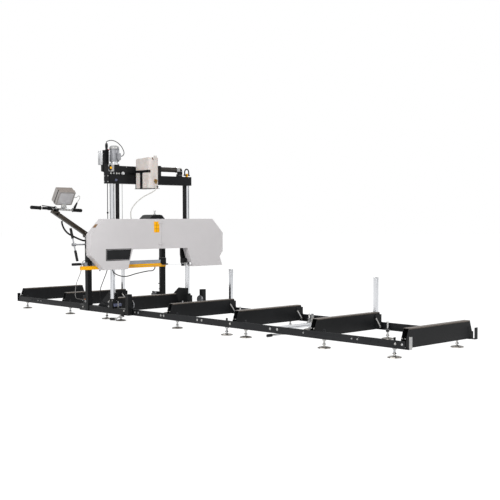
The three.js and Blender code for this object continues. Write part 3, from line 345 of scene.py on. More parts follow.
def finishPiece(name, bm, material, body, bevel=0.0, paint=(), stands=(), segments=2, inMetres=False):
    # moves the bmesh into the row frame, gives it its finishes and its softened edges
    if not inMetres:
        bmesh.ops.scale(bm, vec=(0.001, 0.001, 0.001), verts=bm.verts)
        bmesh.ops.translate(bm, vec=bedOrigin, verts=bm.verts)
    bmesh.ops.recalc_face_normals(bm, faces=bm.faces)
    mesh = bpy.data.meshes.new(name)
    mesh.materials.append(material)
    for index, (finish, test) in enumerate(paint):
        mesh.materials.append(finish)
        for face in bm.faces:
            if test(*((face.calc_center_median() - bedOrigin) * 1000)):
                face.material_index = index + 1
    bm.to_mesh(mesh)
    bm.free()
    mesh.polygons.foreach_set("use_smooth", [True] * len(mesh.polygons))
    mesh.set_sharp_from_angle(angle=radians(32))
    piece = addObject(name, mesh)
    if bevel:
        edge = piece.modifiers.new("soft edges", "BEVEL")
        edge.width = bevel / 1000
        edge.segments = segments
        edge.limit_method = "ANGLE"
        edge.angle_limit = radians(32)
        edge.harden_normals = False
    if body:
        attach(piece, body)
    if stands:
        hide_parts(*stands)
    return piece


bodyOf = {node: body for body, nodes in frame["record"]["behaviour"]["bodies"].items() for node in nodes}


def dress(node, material, bevel=1.0, paint=(), segments=2, shape=None):
    # the CAD solid itself, merged, with its edges softened and its finishes laid on by place
    bm = bmesh.new()
    bm.from_mesh(frame["nodes"][node].data)
    bmesh.ops.remove_doubles(bm, verts=bm.verts, dist=0.00002)
    if shape:
        shape(bm)
    bmesh.ops.dissolve_limit(bm, angle_limit=radians(0.6), verts=bm.verts, edges=bm.edges)
    return finishPiece(node + "_dressed", bm, material, bodyOf[node], bevel, paint, (node,),
        segments, True)


def make(name, draw, material, body, bevel=0.6, paint=(), stands=()):
    bm = bmesh.new()
    draw(bm)
    return finishPiece(name, bm, material, body, bevel, paint, stands)


# The floor is pale to the camera and in reflections, and still takes the machine's shadow.
def whiteToCamera(tree, lit, shown, shadeKept):
    rays = addNode(tree, "ShaderNodeLightPath").outputs
    larger = {"operation": "MAXIMUM"}
    some = addNode(tree, "ShaderNodeMath", larger, {0: rays["Is Camera Ray"], 1: rays["Is Glossy Ray"]})
    every = addNode(tree, "ShaderNodeMath", larger, {0: some.outputs[0], 1: rays["Is Transmission Ray"]})
    share = addNode(tree, "ShaderNodeMath", {"operation": "MULTIPLY"}, {0: every.outputs[0]})
    share.inputs[1].default_value = 1 - shadeKept
    return addNode(tree, "ShaderNodeMixShader", {}, {"Fac": share.outputs[0], 1: lit, 2: shown})


stageSetup = {"half": 45, "shade": 0.28, "glow": 1.26, "worldLight": 0.46, "keyPower": 450, "fillPower": 190,
    "rimPower": 180}
floorMaterial = bpy.data.materials.new("studio floor, pale")
tree = emptyTree(floorMaterial)
paint = addNode(tree, "ShaderNodeBsdfDiffuse", {"Color": (0.86, 0.86, 0.86, 1)}).outputs["BSDF"]
glow = addNode(tree, "ShaderNodeEmission", {"Color": (1, 1, 1, 1), "Strength": stageSetup["glow"]})
floorMix = whiteToCamera(tree, paint, glow.outputs["Emission"], stageSetup["shade"])
addNode(tree, "ShaderNodeOutputMaterial", {}, {"Surface": floorMix.outputs["Shader"]})
bm = bmesh.new()
bmesh.ops.create_grid(bm, x_segments=1, y_segments=1, size=stageSetup["half"])
floorMesh = bpy.data.meshes.new("studio_floor")
bm.to_mesh(floorMesh)
bm.free()
floorMesh.materials.append(floorMaterial)
floor = addObject("studio_floor", floorMesh)

world = bpy.data.worlds.new("studio")
bpy.context.scene.world = world
tree = emptyTree(world)
sky, backdrop = (addNode(tree, "ShaderNodeBackground", {"Color": (1, 1, 1, 1), "Strength": strength})
                 for strength in (stageSetup["worldLight"], 1.0))
worldMix = whiteToCamera(tree, sky.outputs["Background"], backdrop.outputs["Background"], 0)
addNode(tree, "ShaderNodeOutputWorld", {}, {"Surface": worldMix.outputs["Shader"]})


def lamp(name, at, aim, size, power):
    light = bpy.data.lights.new(name, "AREA")
    light.shape = "DISK"
    light.size = size
    light.energy = power
    lamped = addObject(name, light)
    lamped.location = at
    lamped.rotation_euler = (Vector(aim) - Vector(at)).to_track_quat("-Z", "Y").to_euler()


lamp("key", (3.2, -6.5, 5.2), (-0.5, 0, 0.7), 3.5, stageSetup["keyPower"])
lamp("fill", (8.5, 2.5, 4.2), (0, 0, 0.6), 4, stageSetup["fillPower"])
lamp("rim", (-5.5, 4.5, 5.5), (-0.8, 0, 0.8), 3, stageSetup["rimPower"])


def darkFlag(name, at, width, height):
    # a black cloth seen only in reflections, so that chrome and glossy coats show dark edges
    cloth = bpy.data.materials.new(name + "_cloth")
    tree = emptyTree(cloth)
    felt = addNode(tree, "ShaderNodeBsdfDiffuse", {"Color": (0.01, 0.01, 0.01, 1)})
    addNode(tree, "ShaderNodeOutputMaterial", {}, {"Surface": felt.outputs["BSDF"]})
    bm = bmesh.new()
    bmesh.ops.create_grid(bm, x_segments=1, y_segments=1, size=0.5)
    bmesh.ops.scale(bm, vec=(width, height, 1), verts=bm.verts)
    bmesh.ops.rotate(bm, cent=(0, 0, 0), matrix=Matrix.Rotation(pi / 2, 3, "X"), verts=bm.verts)
    facing = Matrix.Rotation(atan2(at[1], at[0]) + pi / 2, 3, "Z")
    bmesh.ops.rotate(bm, cent=(0, 0, 0), matrix=facing, verts=bm.verts)
    bmesh.ops.translate(bm, vec=at, verts=bm.verts)
    mesh = bpy.data.meshes.new(name)
    bm.to_mesh(mesh)
    bm.free()
    mesh.materials.append(cloth)
    flag = addObject(name, mesh)
    flag.visible_camera = flag.visible_diffuse = flag.visible_shadow = flag.visible_transmission = False


darkFlag("flag_right", (8.6, 8.6, 1.6), 6.5, 3.2)
darkFlag("flag_left", (-8.2, -8.0, 1.6), 5.5, 3.2)
print("floor and light set")

# Hoses and cables, on the same routes as the solids that stand for them.
cords = {
    "hose_tank": {"radius": 5, "finish": pvcHose, "bodies": ("carriage", "head"),
        "bend": ((2253, 275, 1310), (2034, 132, 1016)), "points": [
        (2254, 278, 1375.6), (2254, 278, 1346), (2253, 275, 1316), (2228, 256, 1294), (2150, 200, 1246),
        (2100, 156, 1194), (2062, 126, 1136), (2040, 124, 1092), (2034, 128, 1052), (2034, 132, 1020),
        (2034, 132, 1000.4)]},
    "cable_loop": {"radius": 4, "finish": nitrile, "lay": "loose", "bodies": ("carriage",), "points": [
        (1882, -54, 1782.4), (1882, -54, 1796), (1895, -35, 1808), (1910, -11, 1812), (1930, 21, 1802),
        (1950, 46, 1780), (1970, 67, 1748), (1985, 76, 1716), (1994, 79, 1691), (1998, 72, 1670),
        (1998, 58, 1656), (1998, 46, 1652), (1998, 28.4, 1652)]},
    "hose_guide": {"radius": 5, "finish": nitrile, "bodies": ("head", "guide_arm"),
        "bend": ((2010, -20, 470), (2032, 400, 490)), "points": [
        (2004.6, -41, 600), (1997, -41, 600), (1991, -52, 574), (1993, -72, 528), (2006, -62, 490),
        (2026, -10, 459), (2036, 60, 449), (2036, 192, 473), (2034, 337, 492), (2032, 402, 496),
        (2032, 427, 519), (2032, 427, 532.6)]},
    "conduit_arm": {"radius": 9, "finish": nitrile, "kind": "stiff", "bodies": ("carriage",), "points": [
        (1517, -352, 1006.4), (1517, -352, 984), (1517, -332, 934), (1517, -290, 886), (1517, -200, 840),
        (1517, -130, 812), (1517, -96, 803), (1517, -67.4, 803)]},
    "cable_head": {"radius": 4, "finish": nitrile, "bodies": ("head", "carriage"),
        "bend": ((1972, -78, 790), (1888, -52, 190)), "points": [
        (1972, -78, 849.6), (1972, -78, 800), (1968, -90, 660), (1958, -110, 520), (1925, -140, 400),
        (1900, -153, 326), (1880, -142, 250), (1874, -120, 205), (1876, -80, 178), (1888, -52, 170),
        (1902, -50, 170), (1914.6, -50, 170)]},
    "cable_near": {"radius": 3, "finish": greyLead, "bodies": ("head", "carriage"),
        "bend": ((1998, -433, 580), (1466, -140, 210)), "points": [
        (2009, -400.4, 622), (2009, -414, 622), (2000, -430, 600), (1988, -436, 520), (1930, -450, 400),
        (1830, -400, 320), (1700, -319, 262), (1560, -220, 222), (1466, -140, 200), (1452, -84, 190),
        (1462, -52, 190), (1478, -50, 190), (1491.6, -50, 190)]},
    "cable_cabinet": {"radius": 4, "finish": nitrile, "bodies": ("carriage", "head"),
        "bend": ((1900, -59, 1330), (1900, -59, 1060)), "points": [
        (1872, -60, 1494.6), (1872, -60, 1480), (1876, -72, 1462), (1886, -74, 1440), (1896, -64, 1426),
        (1900, -60, 1396), (1900, -59, 1340), (1900, -59, 1230), (1900, -59, 1100), (1898, -56, 1020),
        (1897, -52, 978), (1903, -50, 960), (1913.6, -50, 960)]},
}
for name, cord in cords.items():
    path = [place(*point) for point in smoothPath(cord["points"], 9)]
    tube = tubeMesh(name + "_tube", path, cord["radius"] / 1000, 16)
    tube.data.materials.append(cord["finish"])
    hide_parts(name)
    if len(cord["bodies"]) == 1:
        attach(tube, cord["bodies"][0])
    else:
        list(cord["bodies"])
        place(*cord["bend"][0])
        place(*cord["bend"][1])
        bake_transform(tube)
    cord.get("kind", "medium")
    cord.get("lay", "hanging")
print("hoses and cables made")

# The bed: weathered rails, zinc fasteners and bunks topped with worn steel strip.
bed = {"width": 880, "length": 5550, "section": 1850, "bunkTop": 223,
       "bunks": (25, 925, 1850, 2775, 3700, 4625, 5525), "posts": (925, 2775, 4625),
       "postY": 813, "footY": 40}


def isFastener(x, y, z):
    # bolt heads on the outer face, and everything of the feet below and behind the angle
    outside = y < -0.5 or y > bed["width"] + 0.5
    inward = min(y, bed["width"] - y)
    bright = outside and 100 < z < 118 and (500 < x < 4500 or y > 100 and 0 < x < bed["length"])
    onFoot = y > 100 and 23 < inward < 57 and 80.5 < z < 152 and -1 < x < bed["length"] + 1
    return bright or onFoot or z < 74.5


def isFootPlate(x, y, z):
    return z < 28.6 and abs(min(y, bed["width"] - y) - bed["footY"]) > 9.5


for side in ("near", "far"):
    dress("rail_" + side, greyBlackCoat, 0.8, (
        (zincPlate, isFastener),
        # the foot plates take the darker zinc, its brown a painted reflection
        (darkZincPaintedReflection, isFootPlate),
        (zincPlate, lambda x, y, z: x > bed["length"] + 0.5 and y < 100)))

nearBolts = (0.408, 0.418, 0.483, 0.491, 0.58, 0.591, 0.66, 0.75, 0.765)
endBolts = (427, 491, 4544, 5050, 5106, 5465, 5527)
farBolts = (0.052, 0.0635, 0.408, 0.418, 0.58, 0.591, 0.712, 0.722, 0.942, 0.955)
footShares = (0.0664, 0.5579, 0.9336)


def drawRailFasteners(bm):
    # washers and crowns on the rails' bolt heads, bolts at the ends, a washer and a cone on every foot
    for shares, face, way in ((nearBolts, 0, -1), (farBolts, bed["width"], 1)):
        for share in shares:
            x = share * bed["length"]
            pin(bm, x, (face, face + way * 1.4), 109, 11, 24)
            pin(bm, x, (face + way * 4, face + way * 4.9), 109, 5.4, 16, 4.6)
    for x in endBolts:
        hexBolt(bm, (x, 0, 109), (0, -1, 0), 9 if x > 5400 else 6.5)
    for section in range(3):
        for share in footShares:
            for y in (bed["footY"], bed["width"] - bed["footY"]):
                x = (section + share) * bed["section"]
                pin(bm, x, y, (80.4, 83), 19.5, 24)
                pin(bm, x, y, (28.7, 40), 17, 28, 9)


make("rail_fasteners", drawRailFasteners, zincPlate, "bed", 0.5)


def drawBunkStrips(bm):
    # a thin steel strip folded over each bunk's top, cut round the log posts
    top = bed["bunkTop"]
    for x in bed["bunks"]:
        y0, y1 = 50, bed["width"] - 50
        spans = ((y0, bed["postY"] - 20), (bed["postY"] + 20, y1)) if x in bed["posts"] else ((y0, y1),)
        for low, high in spans:
            block(bm, (x - 25.9, x + 25.9), (low, high), (top, top + 1.4))
        # the folds down both faces put a lighter band at the top of each bunk: painted sheen
        for side in (-1, 1):
            block(bm, (x + side * 25.1, x + side * 26.3), (y0, y1), (top - 7, top + 1.2))


make("bunk_strips", drawBunkStrips, paintedSheenStrip, "bed", 0.4)


def drawBunkFasteners(bm):
    # two bolts hold each bunk end to the rail's flange, and rivets hold the strips
    for x in bed["bunks"]:
        for y in (22, bed["width"] - 22):
            for off in (-13, 13):
                hexBolt(bm, (x + off, y, 149), (0, -0.42 if y < 100 else 0.42, 0.9), 6)
        for y in (70, 260, 440, 620, 752):
            pin(bm, x - 14, y, (bed["bunkTop"] + 1.2, bed["bunkTop"] + 2.6), 4.2, 16, 2.6)


make("bunk_fasteners", drawBunkFasteners, zincPlate, "bed", 0.3)
for index in range(1, 8):
    dress("bunk_%d" % index, blackCoat, 1.4)
for index, x in enumerate(bed["posts"]):
    dress("log_post_%d" % (index + 1), hardChrome, 1.6)
    dress("post_lever_%d" % (index + 1), zincPlate, 1.0, ((nitrile, lambda x, y, z: z > 150),))

    def drawPostCap(bm, x=x):
        # a plug in the tube's sloping top
        verts = block(bm, (x - 12.6, x + 12.6), (bed["postY"] - 12.6, bed["postY"] + 12.6), (511, 518))
        bmesh.ops.translate(bm, verts=[v for v in verts if v.co.z > 515], vec=(0, 0, 1.4))

    make("log_post_%d_plug" % (index + 1), drawPostCap, blackAbs, "log_post_%d" % (index + 1), 0.8)
dress("clamp_lever", zincPlate, 1.0, ((nitrile, lambda x, y, z: z > 150),))
dress("clamp_tubes", hardChrome, 0.8, (
    (blackCoat, lambda x, y, z: min(y, bed["width"] - y) < 11.5 or abs(x - clampX) > 43),))
dress("clamp_jaw", zincPlate, 1.0, (
    (blackAbs, lambda x, y, z: y < -1),
    (blackCoat, lambda x, y, z: y > 470 and z < 133 and abs(x - clampX) > 13)))
dress("clamp_tee", zincPlate, 0.8, ((blackAbs, lambda x, y, z: abs(x - (clampX - 38)) > 12),))


def drawClampDetail(bm):
    for off in (-28, 28):
        for y in (476, 514):
            way = -1 if y < 500 else 1
            pin(bm, clampX + off, (y + way * 2, y + way * 7), 108, 20, 28, 18)
    bolts(bm, (clampX - 40, clampX, clampX + 40), 478, 122, toNear, 5)
    for step in range(5):
        pin(bm, clampX, 495, (134 + step * 12, 138 + step * 12), 13.4, 20)


make("clamp_detail", drawClampDetail, zincPlate, "clamp_jaw", 0.5)
print("bed dressed")

# The carriage: satin black weldments with zinc bolts, chrome columns and the beam on top.
for side in ("near", "far"):
    dress("carriage_" + side, blackCoat, 1.6)
    dress("column_" + side, hardChrome, 0.6)
    for index in (1, 2):
        dress("wheel_%s_%d" % (side, index), turnedIron, 0.8)


def mirrored(side):
    return (lambda y: y) if side == "near" else (lambda y: bed["width"] - y)


def drawCarriageBolts(bm, side):
    at, (outward, inward) = mirrored(side), (toNear, toFar) if side == "near" else (toFar, toNear)
    bolts(bm, 1930, at(-76), (150, 194), outward, 9)
    for x, y, z, size in ((1440, -60, 112, 9), (2168, -60, 120, 9), (1500, -67, 172, 10)):
        hexBolt(bm, (x, at(y), z), outward, size)
    for x in (1430, 2210):
        pin(bm, x, (at(-60), at(-58)), 177.4, 4, 12)
    bolts(bm, (columnX - 25, columnX + 25), (at(-68), at(-16)), 205, upward, 7)
    bolts(bm, armX - 14, at(-17), (830, 850, 868), inward, 5)


for side in ("near", "far"):
    make("carriage_bolts_" + side, lambda bm, side=side: drawCarriageBolts(bm, side), zincPlate, "carriage",
        0.4)


def drawCarriageFittings(bm):
    for side in ("near", "far"):
        at = mirrored(side)
        # the column's clamp collar, the rear post's cap, scrapers at both ends and stiffening ribs
        pin(bm, columnX, at(columnY), (205.4, 222), 34, 36)
        pin(bm, columnX, at(columnY), (222, 226), 34, 36, 30)
        block(bm, (armX - 26, armX + 26), (at(-68), at(-16)), (880.3, 884))
        block(bm, (1376, 1380), (at(-8), at(6)), (137, 200))
        block(bm, (2240, 2244), (at(-56), at(6)), (137, 176))
        for x in (1600, 1830, 2060):
            block(bm, (x, x + 5), (at(-58), at(-9)), (80, 132))


make("carriage_fittings", drawCarriageFittings, blackCoat, "carriage", 1.0)


def drawLimitBox(bm):
    # the small switch beside the near column's foot, in two halves with its lever between them
    block(bm, (1998, 2014), (-66, -26), (152, 180))
    block(bm, (1998, 2014), (-12, 20), (152, 180))
    for y in (-58, -34, -4, 12):
        pin(bm, (2014, 2015.4), y, 166, 2.6, 12)


make("limit_box", drawLimitBox, signalBlue, "carriage", 1.2)


def drawLimitLever(bm):
    pin(bm, 2008, -19, (140, 202), 4, 16)
    pin(bm, (2002, 2016), -19, 166, 7, 20)


make("limit_lever", drawLimitLever, zincPlate, "carriage", 0.4)
make("lead_sleeve", lambda bm: rod(bm, (1462, -52, 190), (1489, -50, 190), 5.5, 18), orangeNylon, "carriage",
    0.6)
dress("top_beam", blackCoat, 1.4, (
    (zincPlate, lambda x, y, z: (2005.4 < x < 2012.6 and -118 < y < -54 and z > 1495)
        or (z < 1377 and 70 < y < 90 and x < 1965)),
    (blackAbs, lambda x, y, z: x > 2012.6 and y < -80 and z > 1500),
    (yellowCoat, lambda x, y, z: 1472 < z < 1505 and 900 < y < 938)))


def fillOutShaft(bm):
    # the shaft and its coupling are a little stouter than the bars that stand for them
    axis = place(columnX, 700, 1541)
    outer = [v for v in bm.verts if hypot(v.co.x - axis.x, v.co.z - axis.z) > 0.02]
    bmesh.ops.scale(bm, vec=(1.16, 1, 1.16), space=Matrix.Translation(-axis), verts=outer)


def fillOutBow(bm):
    # and so is the lifting shackle's bow, measured from its pin
    toPin = Matrix.Translation(-place(columnX, 919, 1490))
    bmesh.ops.scale(bm, vec=(1, 1.26, 1.28), space=toPin, verts=bm.verts)


dress("cross_shaft", greasedEnamel, 1.6, ((zincPlate, lambda x, y, z: y > 770),), shape=fillOutShaft)
dress("lifting_shackle", blackCoat, 0.6, shape=fillOutBow)
dress("lift_motor", castAluminium, 1.0, (
    (zincPlate, lambda x, y, z: z > 1718),
    (drawnAluminium, lambda x, y, z: z < 1600)))
dress("control_cabinet", blackAbs, 2.0, ((drawnAluminium, lambda x, y, z: y < -112.4),))
dress("water_tank", polyethylene, 5.0, (
    (brass, lambda x, y, z: x > 2243.5 and z > 1360),
    (blackAbs, lambda x, y, z: x > 2243.5 and z < 1360),
    # the handle notch's faces are painted brown: painted shade in the recess
    (brownVinylAndNotchShade, lambda x, y, z: 2203 < x < 2242.9 and 232 < y < 261 and 1611 < z < 1638)), 3)


for side in ("near", "far"):
    # the lifting straps between the beam and the head, fixed where they hang
    node = "lift_strap_" + side
    bm = bmesh.new()
    bm.from_mesh(frame["nodes"][node].data)
    strap = finishPiece(node + "_dressed", bm, webbing, None, stands=(node,), inMetres=True)
    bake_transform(strap)


def drawBeamDetail(bm):
    # the bolts of the end plates, the gear block, the shaft housing and its bearing
    bolts(bm, (columnX - 29, columnX + 29), -109, (1396, 1452), toNear, 6.5)
    bolts(bm, (columnX - 29, columnX + 29), 951, (1396, 1452), toFar, 6.5)
    bolts(bm, 2009, (-92, -57, -22, 6), 1478, ahead, 9)
    bolts(bm, 1990, (110, 220, 330, 440, 500), 1548, ahead, 5)
    bolts(bm, 2003, (228, 265, 302), 1386, ahead, 5)
    for y, z in ((826, 1485), (804, 1485), (829, 1529), (818, 1556)):
        hexBolt(bm, (1974, y, z), ahead, 5)


make("beam_detail", drawBeamDetail, zincPlate, "carriage", 0.5)


def drawBeamPlates(bm):
    # end plates, weld strips along the beam, and the flanges of the shaft
    for y in (-109, 947.4):
        block(bm, (columnX - 41, columnX + 41), (y, y + 3.6), (1384, 1464))
    for z in (1378, 1466):
        block(bm, (2000, 2003), (20, 900), (z, z + 4))
    block(bm, (2005, 2009), (-103, 13), (1468, 1489))
    plate(bm, [(-100, 1395), (-20, 1395), (-10, 1405), (-10, 1455), (-100, 1455)], "x", 2005, 2008)
    pin(bm, columnX, (546.6, 555), 1541, 28, 32)
    block(bm, (columnX - 40, columnX + 40), (508, 543), (1570, 1574))


make("beam_plates", drawBeamPlates, blackCoat, "carriage", 1.0)


def drawLiftBoss(bm):
    # the round boss with a socket plug on the shaft housing, and the screws of the lift switch
    pin(bm, (1990, 1997), 65, 1480, 18, 36)
    pin(bm, (1997, 2003), 65, 1480, 13, 6)
    for y in (-112, -60):
        for z in (1501, 1559):
            pin(bm, (2012, 2014.6), y, z, 3.6, 16, 2.6)


def drawLiftKnob(bm):
    # the tall oval body of the lift switch
    oval = [(-104 + 15 * cos(step * tau / 32), 1530 + 29 * sin(step * tau / 32)) for step in range(32)]
    plate(bm, oval, "x", 2012.4, 2026)


make("lift_boss", drawLiftBoss, drawnAluminium, "carriage", 0.4)
make("lift_knob", drawLiftKnob, blackAbs, "carriage", 1.4)
make("lift_switch_dot", lambda bm: pin(bm, (2030, 2036), -105, 1530, 12, 32, 10), yellowCoat, "carriage",
    1.0)
make("lift_socket", lambda bm: pin(bm, (2008, 2019), -30, 1412, 13, 28, 10), signalBlue, "carriage",
    0.8)
liftMotorY = -11


def drawLiftMotorDetail(bm):
    # the cowl's rings and screws, the terminal box's lid with its screws, and the bolts of the foot
    pin(bm, columnX, liftMotorY, (1720.4, 1724), 50.2, 48)
    pin(bm, columnX, liftMotorY, (1752, 1755), 34, 40, 30)
    for x, y in around(6, 24, columnX, liftMotorY):
        pin(bm, x, y, (1752, 1756), 4, 14)
    for y0, y1, z0, z1, cut, x0, x1 in ((-20, 26, 1614, 1678, 10, 2012.3, 2017),
        (-14, 20, 1620, 1672, 7, 2017, 2019)):
        lower = [(y0, z0 + cut), (y0 + cut, z0), (y1 - cut, z0), (y1, z0 + cut)]
        upper = [(y1, z1 - cut), (y1 - cut, z1), (y0 + cut, z1), (y0, z1 - cut)]
        plate(bm, lower + upper, "x", x0, x1)
    for y in (-15, 21):
        for z in (1630, 1662):
            pin(bm, (2017, 2019.6), y, z, 2.6, 12)
    for x, y in around(4, 42, columnX, liftMotorY, tau / 8):
        hexBolt(bm, (x, y, 1578), upward, 4.5)


make("lift_motor_detail", drawLiftMotorDetail, castAluminium, "carriage", 0.8)
make("lift_motor_gland", lambda bm: pin(bm, 1998, (28, 37), 1652, 8, 6), blackAbs, "carriage",
    0.6)


plugX, plugY = 1882, -54


def drawCabinetDetail(bm):
    # the door with its hinge barrels and lock, side panels, the lid, the plug on top and glands below
    block(bm, (1852, 1855.6), (-84, -39), (1502, 1704))
    for z in (1530, 1660):
        pin(bm, 1852, -36, (z - 12, z + 12), 3.4, 18)
    pin(bm, (1848, 1852), -76, 1600, 6, 28)
    block(bm, (1858, 1894), (-106, -88.4), (1500, 1562.6))
    block(bm, (1894.2, 1896), (-111, -84), (1561, 1704))
    block(bm, (1857, 1895), (-87, -36), (1711.2, 1714))
    pin(bm, plugX, plugY, (1714, 1724), 14.5, 6)
    pin(bm, plugX, plugY, (1738, 1770), 13.6, 28)
    for step in range(5):
        pin(bm, plugX, plugY, (1741 + step * 6, 1744 + step * 6), 14.6, 28)
    pin(bm, 1872, -60, (1484, 1495), 8, 6)
    pin(bm, 1884, -80, (1484, 1495), 7, 6)


make("cabinet_detail", drawCabinetDetail, blackAbs, "carriage", 1.0)
make("cabinet_plug_clip", lambda bm: pin(bm, 1884, (-50, -26), 1719, 7.5, 24), signalRed, "carriage",
    0.8)
make("cabinet_cable_clip", lambda bm: pin(bm, 1900, -59, (1080, 1096), 9, 20), nitrile, "carriage",
    0.8)


capX, capY = 2224, 293


def drawTankDetail(bm):
    # upright ribs pressed into the long side, a parting line round the narrow front, and the cap's collar
    for x in (2046, 2162, 2208):
        block(bm, (x, x + 9), (206.6, 208.6), (1352, 1612))
    block(bm, (2242.4, 2244), (264, 266.4), (1338, 1610))
    pin(bm, capX, capY, (1636, 1642), 17, 36)


def drawTankCap(bm):
    pin(bm, capX, capY, (1642, 1658), 14, 40)
    for x, y in around(18, 14, capX, capY):
        pin(bm, x, y, (1644, 1656), 1.3, 8)


def drawTankHolder(bm):
    # the flat bar that holds the tank goes on along the beam, with a lip at its front end
    block(bm, (1999, 2004.4), (150, 203), (1484, 1504))
    block(bm, (2244.6, 2248), (202, 216), (1488, 1512))


def drawTankTap(bm):
    pin(bm, (2243.4, 2249), 278, 1406, 18, 6)
    pin(bm, (2262, 2270), 278, 1406, 7, 20)
    block(bm, (2266, 2271), (274, 282), (1384, 1410))
    pin(bm, 2254, 278, (1376, 1384), 9, 20)


make("tank_ribs", drawTankDetail, polyethylene, "carriage")
make("tank_cap", drawTankCap, polyethylene, "carriage", 0.8)
make("tank_holder", drawTankHolder, blackCoat, "carriage", 0.8)
make("tank_tap", drawTankTap, brass, "carriage", 0.7)
print("carriage and beam dressed")

# The operator's arm: hammered casting, a plain tube handle and the control box above it.
handle = {"from": (armX, -702, 1142), "to": (armX, -120, 1112), "share": 0.182}
gripShares = (0, handle["share"], 1 - handle["share"], 1)
gripEnds = [Vector(handle["from"]).lerp(Vector(handle["to"]), share) for share in gripShares]
dress("push_arm", hammered, 2.2)
dress("handlebar", zincPlate, 0.8, (
    (nitrile, lambda x, y, z: y < gripEnds[1].y or y > gripEnds[2].y),
    (blackAbs, lambda x, y, z: -457 < y < -397 and z < 1128.2 and (abs(x - armX) > 13 or z < 1115))))
dress("control_box", greyAbs, 3.0, (
    (dustyAbs, lambda x, y, z: z > 1305 and x > 1535),
    # the face towards the bed's end is painted lighter: painted light where the leaning face is lit less
    (paintedLitAbs, lambda x, y, z: x > 1545 and 1190 < z < 1260),
    (hammered, lambda x, y, z: z < 1151),
    (zincPlate, lambda x, y, z: z < 1188 and y > -353 and y < -303)), 3)
dress("safety_lever", blackAbs, 1.2)
dress("carriage_lock", zincPlate, 1.0, ((blackAbs, lambda x, y, z: x < 2074),))


def drawBoxPlug(bm):
    # the plug that stands by the handle's bar
    rod(bm, (armX, -216, 1118), (armX, -202, 1141), 6, 16)
    rod(bm, (armX, -202, 1140), (armX, -171, 1193), 14, 24, 7)


def drawPlugLead(bm):
    # its short lead goes up beside the control box and turns in
    route = [(armX, -171, 1193), (armX, -139, 1237), (armX, -137, 1258), (armX, -152, 1264),
        (armX, -176, 1246), (armX, -240, 1240)]
    for start, end in zip(route, route[1:]):
        rod(bm, start, end, 2.4, 12)


make("box_plug", drawBoxPlug, blackAbs, "carriage")
make("box_plug_lead", drawPlugLead, greyLead, "carriage", 0)


def drawArmHead(bm):
    # the casting goes on past the handle's bar and clasps it
    lean = Matrix.Rotation(-atan2(206, 340), 3, "X")
    block(bm, (armX - 20, armX + 20), (-470, -400), (1072, 1112), (Vector((armX, -435, 1092)), lean))


make("arm_head", drawArmHead, hammered, "carriage", 2.2)


def drawGrips(bm):
    # ribbed rubber sleeves with a flange at the inner end
    for start, end in ((gripEnds[0], gripEnds[1]), (gripEnds[3], gripEnds[2])):
        along = (end - start).normalized()
        length = (end - start).length
        rod(bm, start + along * (length - 4), end, 21, 32)
        rod(bm, start - along * 2.5, start + along * 2, 14, 28, 17)
        for step in range(15):
            at = start + along * (5 + step * (length - 12) / 15)
            rod(bm, at, at + along * 3.2, 17.6, 28)
    # the safety lever's housing on the bar
    start, end = gripEnds[1].lerp(gripEnds[2], 0.04), gripEnds[1].lerp(gripEnds[2], 0.33)
    rod(bm, start, end, 14, 28)
    rod(bm, end.lerp(start, 0.35), end, 17.5, 28)


make("handle_grips", drawGrips, nitrile, "carriage")
print("operator's arm dressed")


# The control box leans back over the handle: its panel pieces are drawn flat, then turned with it.
boxAt, boxLean = Vector((armX, -328, 1256)), 0.594


def makeOnBox(name, draw, material, bevel):
    def drawLeaning(bm):
        draw(bm)
        bmesh.ops.rotate(bm, cent=(0, 0, 0), matrix=Matrix.Rotation(boxLean, 3, "Y"), verts=bm.verts)
        bmesh.ops.translate(bm, verts=bm.verts, vec=boxAt)

    make(name, drawLeaning, material, "carriage", bevel)


def drawBoxPanel(bm):
    # the operator's face is the one towards the rear: a raised panel inside a seam line
    block(bm, (-50, -46.2), (-84, 84), (-70, 70))
    block(bm, (-46, 46), (-94.6, -93.2), (-72, 72))
    block(bm, (-46, 46), (93.2, 94.6), (-72, 72))


makeOnBox("box_panel", drawBoxPanel, greyAbs, 1.6)


def drawBoxSeam(bm):
    for y in (-93.9, 93.9):
        block(bm, (8, 21), (y - 1.2, y + 1.2), (-79, 79))


makeOnBox("box_seam", drawBoxSeam, nitrile, 0.5)


def drawBoxBack(bm):
    # a flat panel and corner screws on the face that looks along the bed
    block(bm, (46.2, 48), (-78, 78), (-62, 62))
    for y in (-86, 86):
        for z in (-70, 70):
            pin(bm, (46.2, 48), y, z, 4.5, 16, 3.6)


# the panel is painted lighter grey: painted light on the downward-leaning face
makeOnBox("box_back", drawBoxBack, paintedLitAbs, 0.7)


makeOnBox("box_window", lambda bm: block(bm, (-52, -50), (-62, 20), (18, 58)), displayGlass,
    1.0)


def drawBoxButtons(bm):
    pin(bm, (-50, -54), 52, 38, 15, 32)
    for y in (-56, -24, 8):
        pin(bm, (-50, -55), y, -14, 9.5, 28)
        pin(bm, (-55, -58), y, -14, 7.5, 28, 6.6)
    pin(bm, (-50, -56), 52, -22, 12, 28)
    block(bm, (-64, -56), (49.5, 54.5), (-34, -10))


makeOnBox("box_buttons", drawBoxButtons, blackAbs, 0.6)


def drawBoxStop(bm):
    pin(bm, (-54, -62), 52, 38, 10, 28)
    pin(bm, (-62, -74), 52, 38, 19, 40, 17)


makeOnBox("box_stop", drawBoxStop, signalRed, 1.6)


makeOnBox("box_start", lambda bm: pin(bm, (-50, -57), -56, -50, 10, 28, 9), signalGreen, 0.8)


def drawBoxGlands(bm):
    for y in (-60, -30, 30, 60):
        pin(bm, 0, y, (-77.6, -86), 10, 6)
        pin(bm, 0, y, (-86, -96), 8, 24, 6)


makeOnBox("box_glands", drawBoxGlands, blackAbs, 0.6)


